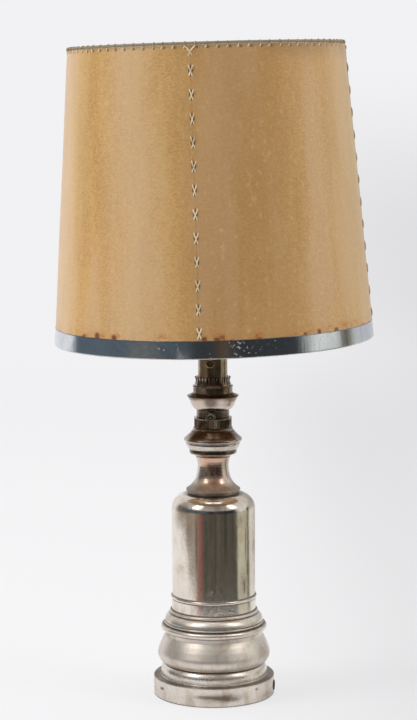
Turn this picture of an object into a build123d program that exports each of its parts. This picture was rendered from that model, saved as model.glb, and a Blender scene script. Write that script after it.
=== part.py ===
from build123d import *
from math import cos, degrees, pi, radians, sin, tan
import os

# Plated oil lamp turned into an electric table lamp, with a laced parchment shade.
# Millimetres, +Z up. The origin is the centre of the face that the lamp rests on, and
# the lamp's axis is Z. An azimuth is counted from the front (-Y), positive to the right.

# ---- Walls and fits ----
spun_wall = 1.5            # wall of the spun brass shells
drop_in = 0.3              # gap round a piece that drops into another
running = 0.05             # gap round what turns or slides in a bore

# ---- Foot ----
foot_r = 57.3
foot_lift = 0.3            # the foot's edge stops short of the table, the felt reaches it
foot_rim_h = 18.2          # top of the foot's straight wall
foot_edge = 0.8            # rounding of the wall's top edge
ledge_w = 5.3              # flat step inside that edge
cove_r = 1.6               # hollow between the step and the riser
riser_h = 3.4              # straight part of the riser, above the hollow
ovolo_h = 7.2              # rounded top of the riser
riser_swell = 0.9          # how far it bows outwards
felt_t = 2.0
felt_gap = 1.2             # felt's edge inside the foot's wall
cover_t = 1.5
recess_r = 16.0            # pocket for the nut, under the ballast
recess_h = 8.0

# ---- Cord inlet, bare: a bush in the foot's wall ----
inlet_azimuth = 83
inlet_z = 8.0
inlet_bore_r = 2.6
inlet_bush_r = 4.0
inlet_flange_r = 4.9
inlet_flange_t = 0.6
channel_w = 9.0            # channel for the cord, across the ballast's underside
channel_h = 9.0

# ---- Drum, the cushion shape above the foot ----
drum_h = 31.8
drum_r = 53.4              # at the belly
drum_foot_r = 46.8         # where it stands on the foot
belly_h = 9.4              # height of the belly above the drum's foot
belly_low_swell = 1.8
turn_drop = 1.0            # the belly has drawn in this much where the taper starts
turn_h = 4.5
turn_swell = 0.23
waist_r = 46.4             # crease under the lower ring
waist_h = 4.4
taper_swell = 0.35

# ---- Rings between drum and body ----
low_ring_h = 8.7
low_ring_r = 48.3          # where the lower ring's half-round springs
low_ring_swell = 2.05
low_round_h = 5.7          # height of that half-round
bead_r = 46.1              # thin bead on top of it
bead_swell = 0.95
high_ring_h = 11.2
high_ring_r = 46.6
high_ring_top_r = 41.9
high_round_h = 7.4
high_ring_swell = 1.2
high_bead_swell = 0.75
ring_bore_r = 37.0

# ---- Body ----
band_h = 14.0
band_r = 39.9
band_bead_h = 3.4
band_bead_swell = 1.05
band_wall = 2.1
body_r = 39.45
body_h = 96.9
body_wall = 1.2
shoulder_r = 14.5
body_mouth_r = 14.0
disc_t = 1.5               # pressed discs that centre the rod

# ---- Neck ----
neck_h = 35.9
neck_foot_r = 24.0
neck_foot_h = 2.6
collar_rim_r = 25.4
collar_rim_h = 1.9
collar_rim_swell = 0.25
neck_low_r = 15.6
neck_low_h = 13.5          # height of the wide sweep above the rim
neck_low_swell = -1.75
neck_waist_r = 14.45
neck_waist_h = 8.5
neck_waist_swell = -0.15
neck_top_r = 16.9
neck_top_swell = -0.45

# ---- Cup under the knurled ring ----
cup_h = 26.9
cup_foot_h = 2.4
foot_step_h = 0.8
cup_bead_r = 22.0
cup_bead_h = 3.9
cup_bead_swell = 0.35
cup_foot_swell = -0.3
bowl_step_h = 0.5
bowl_low_r = 23.2
bowl_top_r = 25.7
bowl_h = 5.2
bowl_swell = 0.15
groove_h = 1.5
groove_depth = 0.3
lip_flare_h = 1.2
lip_r = 26.9
lip_h = 2.8
lip_swell = 0.5
slope_r = 20.3             # where the cup's sloping top meets its small step
slope_h = 6.3
slope_swell = -0.25
slope_round = 0.5
step_r = 18.5
step_edge_h = 1.0

# ---- Knurled ring ----
knurl_h = 9.6
knurl_r = 17.6
knurl_count = 72
knurl_depth = 0.4
knurl_rim_r = 17.9
knurl_rim_h = 0.8
burner_bore_r = 14.3       # one bore through cup top, knurled ring and throat

# ---- Throat, with the upper cup in one piece ----
throat_h = 23.2
throat_r = 15.4
throat_neck_h = 7.0
throat_round_r = 20.4
throat_round_h = 5.4
throat_round_swell = 0.7
throat_lip_r = 24.3
throat_lip_round = 0.4
throat_lip_edge_h = 0.7
throat_lip_swell = 0.15
throat_top_edge_h = 0.2
throat_top_swell = -0.2
throat_round_in = 1.0
throat_in_rise = 0.3
throat_lip_h = 7.8
throat_flare_swell = -0.35
throat_top_r = 19.2

# ---- Gallery with its prongs ----
gallery_h = 7.2
gallery_r = 18.6
gallery_wall = 1.5
gallery_bead_h = 1.7
gallery_bead_swell = 0.45
gallery_edge = 0.1
gallery_seat_h = 1.2
prong_h = 8.0
prong_foot_r = 17.3
prong_waist_r = 16.2
prong_waist_h = 3.8
prong_tip_r = 17.1
prong_foot_swell = 0.2
prong_tip_swell = 0.25
prong_wall = 0.8
prong_count = 30
prong_root_h = 1.8         # unbroken band under the notches
prong_notch_w = 2.7        # notch at the tips
prong_root_w = 0.7         # notch at its foot

# ---- Stem ----
stem_h = 71.4
stem_r = 13.8
stem_wall = 1.1
stem_screw_azimuth = -9
stem_screw_z = 317.0
stem_screw_head_r = 4.2
stem_screw_head_h = 1.9
stem_screw_swell = 0.35
stem_screw_slot_w = 0.9
stem_screw_slot_h = 0.7
stem_screw_shank_r = 1.6
sleeve_r = 9.0             # spacer on the rod, which the screw bears on

# ---- Rod, nuts and washers ----
rod_r = 5.0
rod_bore_r = 3.5
rod_hole_r = 5.3
rod_start = 4.6
rod_recess = 2.0           # of the rod's top below the boss
nut_flats = 15.0
nut_h = 5.0
washer_r = 10.0
washer_t = 1.5

# ---- Winder: a knob, spindle and pinion that lift the wick carrier's rack ----
winder_azimuth = -6
winder_rise = 2.0          # of the spindle above the throat's lower end
spindle_r = 1.2
winder_bush_r = 1.9
winder_bush_wall = 2.6     # length of the bush through the throat's wall
knob_r = 4.7
knob_t = 2.6
knob_back_round = 0.3
knob_edge = 0.5
knob_edge_swell = 0.15
knob_groove_swell = 0.1
knob_dome_h = 0.25
knob_blind_t = 1.2         # metal left in front of the spindle's end
knob_back = 18.4           # distance of the knob's back from the lamp's axis
pinion_teeth = 8
pinion_pitch_r = 3.2
pinion_tip_r = 4.0
pinion_root_r = 2.2
pinion_tooth_w = 0.7
pinion_tip_w = 0.5
pinion_mid = 11.5          # distance of the pinion's middle from the lamp's axis
pinion_t = 1.8
rack_t = 0.8
rack_w = 2.8
rack_slot_h = 1.6
rack_slot_w = 2.2
rack_slots_below = 5
rack_slots_above = 1
rack_end = 1.4             # strip left beyond the last slot
carrier_wall = 1.0
carrier_h = 4.3
carrier_gap = 0.8          # between the pinion's top and the carrier
arm_t = 2.5
air_tube_r = 7.0
air_tube_wall = 0.8
air_tube_h = 36.0

# ---- Lampholder, E27 ----
holder_r = 19.6
holder_cap_h = 20.0
holder_dome_h = 14.0
holder_dome_swell = 2.0
holder_boss_r = 8.0
holder_boss_h = 10.0
holder_wall = 1.6
cap_seat = 2.5             # of the cap's inside round the core
skirt_h = 38.0
core_r = 14.0
core_flange_t = 4.0
core_top_h = 7.0           # of the core above its flange
liner_gap = 0.2
liner_recess = 1.5         # of the liner below the skirt's top
shell_wall = 0.45
shell_h = 25.0
contact_w = 5.0
contact_t = 0.5
contact_h = 1.7            # height of the bowed centre contact
terminal_r = 2.4
terminal_h = 1.6
terminal_offset = 10.6
terminal_slot_w = 0.7
terminal_slot_h = 0.6

# ---- Bulb, 60 mm, E27 ----
bulb_r = 30.0
bulb_len = 104.0
bulb_cap_r = 13.1
bulb_cap_h = 25.0
bulb_cap_wall = 0.35
bulb_plug_h = 2.4
bulb_tip_r = 4.8
bulb_tip_h = 1.2
bulb_tip_swell = 0.3
bulb_cap_round = 1.6
bulb_lift_gap = 0.2        # between its tip and the centre contact
bulb_glass_wall = 0.8
bulb_neck_r = 12.4
bulb_neck_h = 5.0
bulb_seat = 2.0            # of the neck inside the cap
bulb_join_angle = 38       # degrees below level where the cone meets the round end
bulb_shoulder_r = 13.6
bulb_shoulder_h = 11.0
bulb_cone_swell = -2.6
bulb_stem_r = 3.2
bulb_stem_h = 34.0
filament_r = 0.35
filament_span = 17.0
filament_rise = 4.0

# ---- Shade ----
shade_h = 272.6
shade_bottom_r = 148.7     # outside of the parchment, at the bottom edge
shade_top_r = 127.0
shade_lean_left = 1.35     # degrees: the shade sits a little askew on its ring
shade_lean_front = 1.05
fitter_rise = 60.6         # fitter ring above the shade's bottom edge
fitter_level = 20.0        # fitter ring above the foot of the holder's skirt
fitter_bore_r = 20.2
fitter_r = 30.0
fitter_t = 1.6
clamp_r = 26.0
clamp_h = 6.0
clamp_edge = 0.8
arm_count = 3
arm_azimuth = 30
arm_wire_r = 1.6
arm_start_r = 27.3
arm_level = 16.0           # level run before an arm slopes down
arm_bend_r = 10.0
bottom_wire_r = 1.7
top_wire_r = 1.2
parchment_t = 0.8
panel_count = 4
seam_azimuth = -5.35       # at half the shade's height
seam_lean = 0.7            # degrees: the seams run slightly aslant, to the right downwards
seam_gap = 0.5
channel_floor_t = 0.5      # sheet of the chrome band
band_height = 16.3
band_lip_h = 4.0           # inner leg of the band
hem_gap = 0.2
lace_r = 0.45
lace_gap = 0.1
cross_count = 12
cross_pitch = 20.5
cross_first = 22.6         # middle of the lowest cross above the bottom edge
cross_w = 4.4
cross_h = 10.4
vee_w = 7.4
vee_h = 4.3
vee_drop = 1.8             # top of the uppermost stitch below the top wire
whip_per_panel = 21
whip_drop = 5.3            # holes of the edge stitches below the top

# ---- Levels, stacked from the heights above ----
ledge_z = foot_rim_h
drum_z = ledge_z + cove_r + riser_h + ovolo_h
low_ring_z = drum_z + drum_h
high_ring_z = low_ring_z + low_ring_h
band_z = high_ring_z + high_ring_h
body_z = band_z + band_h
neck_z = body_z + body_h
cup_z = neck_z + neck_h
knurl_z = cup_z + cup_h
throat_z = knurl_z + knurl_h
winder_z = throat_z + winder_rise
gallery_z = throat_z + throat_h
prong_z = gallery_z + gallery_h
stem_top_z = gallery_z + stem_h
ballast_z = felt_t + cover_t
skirt_z = stem_top_z + holder_cap_h
core_top_z = skirt_z + core_flange_t + core_top_h
bulb_z = core_top_z + contact_h + bulb_lift_gap
fitter_z = skirt_z + fitter_level
web_z = gallery_z - spun_wall

# ---- Radii that follow from the above ----
riser_r = foot_r - ledge_w - cove_r
stem_bore_r = stem_r - stem_wall
shell_bore_r = core_r - shell_wall
seam_step = 360 / panel_count
shade_slope = (shade_bottom_r - shade_top_r) / shade_h
rack_pitch = 2 * pi * pinion_pitch_r / pinion_teeth


def turned(*corners, arc=360):
    """Solid turned about Z from corners (r, z), drawn up the outside and down the inside.

    A corner (r, z, swell) is reached by an arc that swells to the right of the way drawn.
    """
    edges = []
    here = corners[0][:2]
    for corner in corners[1:] + (corners[0][:2],):
        there = corner[:2]
        if len(corner) == 3:
            edges.append(SagittaArc(here, there, -corner[2]))
        elif here != there:
            edges.append(Line(here, there))
        here = there
    return revolve(Plane.XZ * make_face(edges), Axis.Z, arc)


def tube(inner_r, outer_r, low, high):
    """Plain ring about Z between two levels."""
    return turned((outer_r, low), (outer_r, high), (inner_r, high), (inner_r, low))


def disc(radius, low, high):
    """Plain disc on Z between two levels."""
    return Pos(0, 0, (low + high) / 2) * Cylinder(radius, high - low)


def facing(azimuth, level=0.0):
    """Frame on the axis whose Z runs outwards at the azimuth, with X to the right and Y up."""
    return Rot(0, 0, azimuth) * Pos(0, 0, level) * Rot(90, 0, 0)


def block(low, high):
    """Box between two corners."""
    size = [b - a for a, b in zip(low, high)]
    return Pos(*[(a + b) / 2 for a, b in zip(low, high)]) * Box(*size)


def rod_between(start, end, radius):
    """Straight round bar from point to point."""
    path = Line(start, end)
    return sweep(Plane(origin=start, z_dir=path % 0) * Circle(radius), path)


# ---------------------------------------------------------------- foot


def felt_pad():
    return disc(foot_r - spun_wall - felt_gap, 0, felt_t)


def bottom_cover():
    return disc(foot_r - spun_wall - drop_in, felt_t, ballast_z)


def ballast():
    radius = foot_r - spun_wall - drop_in
    block_top = ledge_z - spun_wall
    weight = turned((radius, ballast_z), (radius, block_top), (rod_hole_r, block_top), (rod_hole_r, ballast_z))
    pocket = disc(recess_r, ballast_z, ballast_z + recess_h)
    slot_top = ballast_z + channel_h - inlet_z
    slot = block((-channel_w / 2, ballast_z - inlet_z, 0), (channel_w / 2, slot_top, foot_r))
    return weight - pocket - facing(inlet_azimuth, inlet_z) * slot


def foot_plate():
    cove_z = ledge_z + cove_r
    under_z = ledge_z - spun_wall
    shell = turned(
        (foot_r, foot_lift),
        (foot_r, foot_rim_h - foot_edge),
        (foot_r - foot_edge, foot_rim_h, 0.3 * foot_edge),
        (foot_r - ledge_w, ledge_z),
        (riser_r, cove_z, -0.3 * cove_r),
        (riser_r, cove_z + riser_h),
        (drum_foot_r, drum_z, riser_swell),
        (rod_hole_r, drum_z),
        (rod_hole_r, drum_z - spun_wall),
        (drum_foot_r - spun_wall, drum_z - spun_wall),
        (riser_r - spun_wall, cove_z + riser_h, -riser_swell),
        (riser_r - spun_wall, under_z),
        (foot_r - spun_wall, under_z),
        (foot_r - spun_wall, foot_lift),
    )
    hole = Pos(0, 0, foot_r - spun_wall) * Cylinder(inlet_bush_r, 4 * spun_wall)
    return shell - facing(inlet_azimuth, inlet_z) * hole


def inlet_bush():
    wall_in = foot_r - spun_wall
    flange_low = foot_r + 0.1
    bush = turned(
        (inlet_bush_r, wall_in - 0.1),
        (inlet_bush_r, flange_low),
        (inlet_flange_r, flange_low),
        (inlet_flange_r - 0.3, flange_low + inlet_flange_t, 0.1),
        (inlet_bore_r, flange_low + inlet_flange_t),
        (inlet_bore_r, wall_in - 0.1),
    )
    return facing(inlet_azimuth, inlet_z) * bush


# ---------------------------------------------------------------- drum and rings


def drum():
    belly_z = drum_z + belly_h
    turn_z = belly_z + turn_h
    top = low_ring_z
    return turned(
        (drum_foot_r, drum_z),
        (drum_r, belly_z, belly_low_swell),
        (drum_r - turn_drop, turn_z, turn_swell),
        (waist_r, top - waist_h, taper_swell),
        (waist_r, top),
        (ring_bore_r, top),
        (ring_bore_r, top - spun_wall),
        (waist_r - spun_wall, top - spun_wall),
        (waist_r - spun_wall, top - waist_h),
        (drum_r - turn_drop - spun_wall, turn_z, -taper_swell),
        (drum_r - spun_wall, belly_z, -turn_swell),
        (drum_foot_r - spun_wall, drum_z, -belly_low_swell),
    )


def low_ring():
    round_top = low_ring_z + low_round_h
    return turned(
        (low_ring_r, low_ring_z),
        (low_ring_r, round_top, low_ring_swell),
        (bead_r, round_top + 0.3),
        (bead_r, high_ring_z - 0.2, bead_swell),
        (bead_r - 0.8, high_ring_z),
        (ring_bore_r, high_ring_z),
        (ring_bore_r, low_ring_z),
    )


def high_ring():
    round_top = high_ring_z + high_round_h
    bead_at = high_ring_top_r - 0.7
    return turned(
        (high_ring_r, high_ring_z),
        (high_ring_top_r, round_top, high_ring_swell),
        (bead_at, round_top + 0.5),
        (bead_at, band_z - 0.6, high_bead_swell),
        (bead_at - 0.8, band_z),
        (ring_bore_r, band_z),
        (ring_bore_r, high_ring_z),
    )


def body_band():
    bead_z = body_z - band_bead_h
    return turned(
        (band_r, band_z),
        (band_r, bead_z),
        (band_r - 0.2, body_z, band_bead_swell),
        (band_r - band_wall, body_z),
        (band_r - band_wall, band_z),
    )


def body_disc():
    return tube(rod_hole_r, band_r - band_wall - drop_in, band_z, band_z + disc_t)


def body_shell():
    bend_z = neck_z - shoulder_r
    inner_bend = shoulder_r - body_wall
    quarter = 1 - cos(radians(45))
    return turned(
        (body_r, body_z),
        (body_r, bend_z),
        (body_r - shoulder_r, neck_z, quarter * shoulder_r),
        (body_mouth_r, neck_z),
        (body_mouth_r, neck_z - body_wall),
        (body_r - shoulder_r, neck_z - body_wall),
        (body_r - body_wall, bend_z, -quarter * inner_bend),
        (body_r - body_wall, body_z),
    )


# ---------------------------------------------------------------- neck and cup


def neck():
    rim_z = neck_z + neck_foot_h
    sweep_z = rim_z + collar_rim_h
    waist_low_z = sweep_z + neck_low_h
    waist_z = waist_low_z + neck_waist_h
    return turned(
        (neck_foot_r, neck_z),
        (neck_foot_r, rim_z),
        (collar_rim_r, rim_z),
        (collar_rim_r, sweep_z, collar_rim_swell),
        (neck_low_r, waist_low_z, neck_low_swell),
        (neck_waist_r, waist_z, neck_waist_swell),
        (neck_top_r, cup_z, neck_top_swell),
        (neck_top_r - spun_wall, cup_z),
        (neck_waist_r - spun_wall, waist_z, -neck_top_swell),
        (neck_low_r - spun_wall, waist_low_z, -neck_waist_swell),
        (neck_foot_r - spun_wall, sweep_z - spun_wall, -neck_low_swell),
        (neck_foot_r - spun_wall, neck_z + spun_wall),
        (body_mouth_r, neck_z + spun_wall),
        (body_mouth_r, neck_z),
    )


def neck_disc():
    seat = neck_z + spun_wall
    return tube(rod_hole_r, neck_foot_r - spun_wall - drop_in, seat, seat + disc_t)


def burner_cup():
    bead_z = cup_z + cup_foot_h
    bowl_z = bead_z + cup_bead_h
    bowl_top_z = bowl_z + bowl_h
    lip_z = bowl_top_z + groove_h + lip_flare_h
    slope_z = lip_z + lip_h + slope_h
    foot_in = neck_top_r - spun_wall
    return turned(
        (neck_top_r, cup_z),
        (cup_bead_r, bead_z, cup_foot_swell),
        (cup_bead_r, bowl_z, cup_bead_swell),
        (bowl_low_r, bowl_z + bowl_step_h),
        (bowl_top_r, bowl_top_z, bowl_swell),
        (bowl_top_r - groove_depth, bowl_top_z + groove_h),
        (lip_r, lip_z),
        (lip_r, lip_z + lip_h, lip_swell),
        (slope_r, slope_z, slope_swell),
        (slope_r - slope_round, slope_z + slope_round),
        (step_r, knurl_z - step_edge_h),
        (step_r, knurl_z),
        (burner_bore_r, knurl_z),
        (burner_bore_r, knurl_z - spun_wall),
        (step_r - 2 * spun_wall, knurl_z - spun_wall - step_edge_h),
        (lip_r - 1.6 * spun_wall, lip_z + lip_h / 2),
        (bowl_top_r - 1.3 * spun_wall, bowl_top_z),
        (cup_bead_r - spun_wall, bowl_z),
        (cup_bead_r - spun_wall, bead_z + foot_step_h),
        (foot_in, bead_z - foot_step_h),
        (foot_in, cup_z),
    )


def knurled_ring():
    step = 360 / knurl_count
    corners = []
    for index in range(knurl_count):
        for turn, radius in ((0.0, knurl_r), (0.5, knurl_r - knurl_depth)):
            angle = radians((index + turn) * step)
            corners.append((radius * cos(angle), radius * sin(angle)))
    rim_z = throat_z - knurl_rim_h
    ribbed = extrude(Pos(0, 0, knurl_z) * make_face(Polyline(*corners, close=True)), rim_z - knurl_z)
    rim = disc(knurl_rim_r, rim_z, throat_z)
    return ribbed + rim - disc(burner_bore_r, knurl_z - 1, throat_z + 1)


# ---------------------------------------------------------------- throat, gallery and stem


def burner_throat():
    round_z = throat_z + throat_neck_h
    flare_z = round_z + throat_round_h
    lip_z = flare_z + throat_lip_h
    shell = turned(
        (throat_r, throat_z),
        (throat_r, round_z),
        (throat_round_r, flare_z, throat_round_swell),
        (throat_lip_r, lip_z, throat_flare_swell),
        (throat_lip_r - throat_lip_round, lip_z + throat_lip_edge_h, throat_lip_swell),
        (throat_top_r, gallery_z - throat_top_edge_h, throat_top_swell),
        (throat_top_r, gallery_z),
        (rod_hole_r, gallery_z),
        (rod_hole_r, web_z),
        (throat_top_r - throat_round_in, web_z),
        (throat_lip_r - 1.8 * spun_wall, lip_z - throat_lip_round),
        (throat_round_r - spun_wall, flare_z + throat_in_rise),
        (burner_bore_r, round_z + throat_lip_edge_h),
        (burner_bore_r, throat_z),
    )
    hole = Pos(0, 0, throat_r) * Cylinder(winder_bush_r, 3 * spun_wall)
    return shell - facing(winder_azimuth, winder_z) * hole


def gallery_ring():
    bead_z = prong_z - gallery_bead_h
    inner = gallery_r - gallery_wall
    return turned(
        (gallery_r, gallery_z),
        (gallery_r, bead_z),
        (gallery_r, prong_z - gallery_edge, gallery_bead_swell),
        (gallery_r - 3 * gallery_edge, prong_z),
        (prong_foot_r - prong_wall, prong_z),
        (inner, prong_z - gallery_seat_h),
        (inner, gallery_z),
    )


def gallery_prongs():
    waist_z = prong_z + prong_waist_h
    tip_z = prong_z + prong_h
    band = turned(
        (prong_foot_r, prong_z),
        (prong_waist_r, waist_z, -prong_foot_swell),
        (prong_tip_r, tip_z, -prong_tip_swell),
        (prong_tip_r - prong_wall, tip_z),
        (prong_waist_r - prong_wall, waist_z, prong_tip_swell),
        (prong_foot_r - prong_wall, prong_z, prong_foot_swell),
    )
    over = prong_wall
    notch_face = make_face(Polyline(
        (-prong_root_w / 2, prong_root_h),
        (prong_root_w / 2, prong_root_h),
        (prong_notch_w / 2, prong_h + over),
        (-prong_notch_w / 2, prong_h + over),
        close=True,
    ))
    reach = prong_foot_r + over - stem_r
    notch = Pos(0, 0, stem_r) * extrude(notch_face, reach)
    notches = [facing(index * 360 / prong_count, prong_z) * notch for index in range(prong_count)]
    return band - notches


def stem_tube():
    stem = tube(stem_bore_r, stem_r, gallery_z, stem_top_z)
    hole = Pos(0, 0, stem_r) * Cylinder(stem_screw_shank_r + running, 4 * stem_wall)
    return stem - facing(stem_screw_azimuth, stem_screw_z) * hole


def stem_screw():
    head_low = stem_r + running
    head_top = head_low + stem_screw_head_h
    screw = turned(
        (stem_screw_shank_r, sleeve_r + running),
        (stem_screw_shank_r, head_low),
        (stem_screw_head_r, head_low),
        (stem_screw_head_r, head_low + 0.5 * stem_screw_head_h),
        (0.6 * stem_screw_head_r, head_top, stem_screw_swell),
        (0, head_top),
        (0, sleeve_r + running),
    )
    slot = Pos(0, 0, head_top) * Box(2.2 * stem_screw_head_r, stem_screw_slot_w, 2 * stem_screw_slot_h)
    return facing(stem_screw_azimuth, stem_screw_z) * (screw - slot)


# ---------------------------------------------------------------- rod and its fixings


def threaded_rod():
    return tube(rod_bore_r, rod_r, rod_start, stem_top_z + holder_boss_h - rod_recess)


def hex_nut(low):
    nut = extrude(Pos(0, 0, low) * RegularPolygon(nut_flats / 2, 6, major_radius=False), nut_h)
    return nut - disc(rod_r + running, low - 1, low + nut_h + 1)


def washer(low):
    return tube(rod_r + drop_in, washer_r, low, low + washer_t)


def rod_sleeve():
    return tube(rod_r + drop_in, sleeve_r, gallery_z + washer_t + nut_h, stem_top_z)


# ---------------------------------------------------------------- winder


def winder_knob():
    front = knob_back + knob_t
    knob = turned(
        (knob_r - knob_back_round, knob_back),
        (knob_r, knob_back + knob_back_round),
        (knob_r, front - knob_edge),
        (knob_r - knob_edge, front, knob_edge_swell),
        (0.72 * knob_r, front),
        (0.60 * knob_r, front - knob_edge, -knob_groove_swell),
        (0.42 * knob_r, front - knob_edge),
        (0.34 * knob_r, front),
        (0, front + knob_dome_h),
        (0, front - knob_blind_t),
        (spindle_r, front - knob_blind_t),
        (spindle_r, knob_back),
    )
    return facing(winder_azimuth, winder_z) * knob


def winder_spindle():
    spindle = disc(spindle_r, pinion_mid + pinion_t / 2, knob_back + knob_t - knob_blind_t)
    return facing(winder_azimuth, winder_z) * spindle


def winder_bush():
    mid = (throat_r + burner_bore_r) / 2
    half = winder_bush_wall / 2
    return facing(winder_azimuth, winder_z) * tube(spindle_r + running, winder_bush_r, mid - half, mid + half)


def winder_pinion():
    wheel = disc(pinion_root_r, pinion_mid - pinion_t / 2, pinion_mid + pinion_t / 2)
    tooth_face = make_face(Polyline(
        (0, -pinion_tooth_w / 2),
        (pinion_tip_r, -pinion_tip_w / 2),
        (pinion_tip_r, pinion_tip_w / 2),
        (0, pinion_tooth_w / 2),
        close=True,
    ))
    tooth = extrude(Pos(0, 0, pinion_mid - pinion_t / 2) * tooth_face, pinion_t)
    for index in range(pinion_teeth):
        wheel += Rot(0, 0, index * 360 / pinion_teeth) * tooth
    return facing(winder_azimuth, winder_z) * wheel


def wick_rack():
    """Slotted strip on the pinion's left, so that a clockwise turn of the knob lifts it."""
    low = -(rack_slots_below * rack_pitch + rack_slot_h / 2 + rack_end)
    high = pinion_tip_r + carrier_gap + carrier_h
    strip = Pos(-pinion_pitch_r, (low + high) / 2, pinion_mid) * Box(rack_t, high - low, rack_w)
    slot = Box(2 * rack_t, rack_slot_h, rack_slot_w)
    slots = []
    for index in range(-rack_slots_below, rack_slots_above + 1):
        slots.append(Pos(-pinion_pitch_r, index * rack_pitch, pinion_mid) * slot)
    return facing(winder_azimuth, winder_z) * (strip - slots)


def wick_carrier():
    inner = air_tube_r + 2 * running
    outer = inner + carrier_wall
    low = winder_z + pinion_tip_r + carrier_gap
    ring = tube(inner, outer, low, low + carrier_h)
    seat = -pinion_pitch_r + rack_t / 2
    arm_top = pinion_tip_r + carrier_gap + carrier_h
    arm_low_corner = (seat, arm_top - arm_t, (inner + outer) / 2)
    arm = block(arm_low_corner, (seat + arm_t, arm_top, pinion_mid + rack_w / 2))
    return ring + facing(winder_azimuth, winder_z) * arm


def air_tube():
    return tube(air_tube_r - air_tube_wall, air_tube_r, web_z - air_tube_h, web_z)


# ---------------------------------------------------------------- lampholder


def holder_cap():
    low = stem_top_z
    seat_r = core_r + cap_seat
    return turned(
        (stem_r, low),
        (holder_r, low + holder_dome_h, holder_dome_swell),
        (holder_r, skirt_z),
        (seat_r, skirt_z),
        (seat_r, low + holder_dome_h),
        (stem_r - 1.4 * holder_wall, low + 1.5 * holder_wall, -holder_dome_swell),
        (holder_boss_r, low + 1.5 * holder_wall),
        (holder_boss_r, low + holder_boss_h),
        (rod_r + running, low + holder_boss_h),
        (rod_r + running, low),
    )


def holder_skirt():
    return tube(holder_r - holder_wall, holder_r, skirt_z, skirt_z + skirt_h)


def holder_core():
    flange_r = holder_r - holder_wall - liner_gap
    return turned(
        (core_r, stem_top_z + holder_boss_h),
        (core_r, skirt_z),
        (flange_r, skirt_z),
        (flange_r, skirt_z + core_flange_t),
        (core_r, skirt_z + core_flange_t),
        (core_r, core_top_z),
        (0, core_top_z),
        (0, stem_top_z + holder_boss_h),
    )


def holder_liner():
    low = skirt_z + core_flange_t
    return tube(core_r + liner_gap, holder_r - holder_wall - liner_gap, low, skirt_z + skirt_h - liner_recess)


def screw_shell():
    return tube(shell_bore_r, core_r, core_top_z, core_top_z + shell_h)


def centre_contact():
    half = 0.6 * shell_bore_r
    rise = contact_h - contact_t
    outer = SagittaArc((-half, contact_t), (half, contact_t), rise)
    inner = SagittaArc((half, 0), (-half, 0), -rise)
    face = make_face([outer, Line((half, contact_t), (half, 0)), inner, Line((-half, 0), (-half, contact_t))])
    strip = extrude(Plane.XZ * face, contact_w / 2, both=True)
    return Pos(0, 0, core_top_z) * strip


def terminal_screws():
    top = stem_top_z + holder_boss_h
    head = disc(terminal_r, top - terminal_h, top)
    head -= Pos(0, 0, top - terminal_h) * Box(3 * terminal_r, terminal_slot_w, 2 * terminal_slot_h)
    return Compound([Pos(side * terminal_offset, 0, 0) * head for side in (-1, 1)])


def clamp_ring(low):
    bore = holder_r + running
    return turned(
        (clamp_r - clamp_edge, low),
        (clamp_r, low + clamp_edge),
        (clamp_r, low + clamp_h - clamp_edge),
        (clamp_r - clamp_edge, low + clamp_h),
        (bore, low + clamp_h),
        (bore, low),
    )


# ---------------------------------------------------------------- bulb


def bulb_tip():
    return turned(
        (0.5 * bulb_tip_r, bulb_z),
        (bulb_tip_r, bulb_z + bulb_tip_h, bulb_tip_swell),
        (0, bulb_z + bulb_tip_h),
        (0, bulb_z),
    )


def bulb_plug():
    low = bulb_z + bulb_tip_h
    return turned(
        (bulb_tip_r, low),
        (0.85 * bulb_cap_r, low + bulb_plug_h),
        (0, low + bulb_plug_h),
        (0, low),
    )


def bulb_cap():
    low = bulb_z + bulb_tip_h + bulb_plug_h
    top = bulb_z + bulb_cap_h
    inner = bulb_cap_r - bulb_cap_wall
    return turned(
        (0.9 * bulb_cap_r, low),
        (bulb_cap_r, low + bulb_cap_round),
        (bulb_cap_r, top),
        (inner, top),
        (inner, low + bulb_cap_round + bulb_cap_wall),
        (0.9 * bulb_cap_r - bulb_cap_wall, low + bulb_cap_wall),
        (0, low + bulb_cap_wall),
        (0, low),
    )


def bulb_glass():
    foot = bulb_z + bulb_cap_h - bulb_seat
    shoulder = foot + bulb_neck_h + bulb_shoulder_h
    middle = bulb_z + bulb_len - bulb_r
    join = radians(-bulb_join_angle)
    wall = bulb_glass_wall
    outside = (bulb_r * cos(join), middle + bulb_r * sin(join))
    inside_r = bulb_r - wall
    inside = (inside_r * cos(join), middle + inside_r * sin(join))
    # The swell of the round end, which runs from the joint to the crown.
    half_turn = radians((90 + bulb_join_angle) / 2)
    return turned(
        (bulb_neck_r, foot),
        (bulb_neck_r, foot + bulb_neck_h),
        (bulb_shoulder_r, shoulder, -0.1),
        (*outside, bulb_cone_swell / 2),
        (0, middle + bulb_r, bulb_r * (1 - cos(half_turn))),
        (0, middle + inside_r),
        (*inside, -inside_r * (1 - cos(half_turn))),
        (bulb_shoulder_r - wall, shoulder, -bulb_cone_swell / 2),
        (bulb_neck_r - wall, foot + bulb_neck_h, 0.1),
        (bulb_neck_r - wall, foot),
    )


def bulb_stem():
    low = bulb_z + bulb_tip_h + bulb_plug_h + bulb_cap_wall
    top = low + bulb_stem_h
    return turned(
        (2.2 * bulb_stem_r, low),
        (bulb_stem_r, low + 0.5 * bulb_stem_h, -0.8),
        (bulb_stem_r, top, 0.2),
        (0, top),
        (0, low),
    )


def bulb_filament():
    low = bulb_z + bulb_tip_h + bulb_plug_h + bulb_cap_wall + bulb_stem_h + filament_r
    reach = filament_span / 2
    rise = 3 * filament_rise
    path = FilletPolyline(
        (-0.5 * bulb_stem_r, 0, low),
        (-reach, 0, low + rise),
        (0, 0, low + rise + filament_rise),
        (reach, 0, low + rise),
        (0.5 * bulb_stem_r, 0, low),
        radius=1.5,
    )
    return sweep(Plane(origin=path @ 0, z_dir=path % 0) * Circle(filament_r), path)


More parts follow.
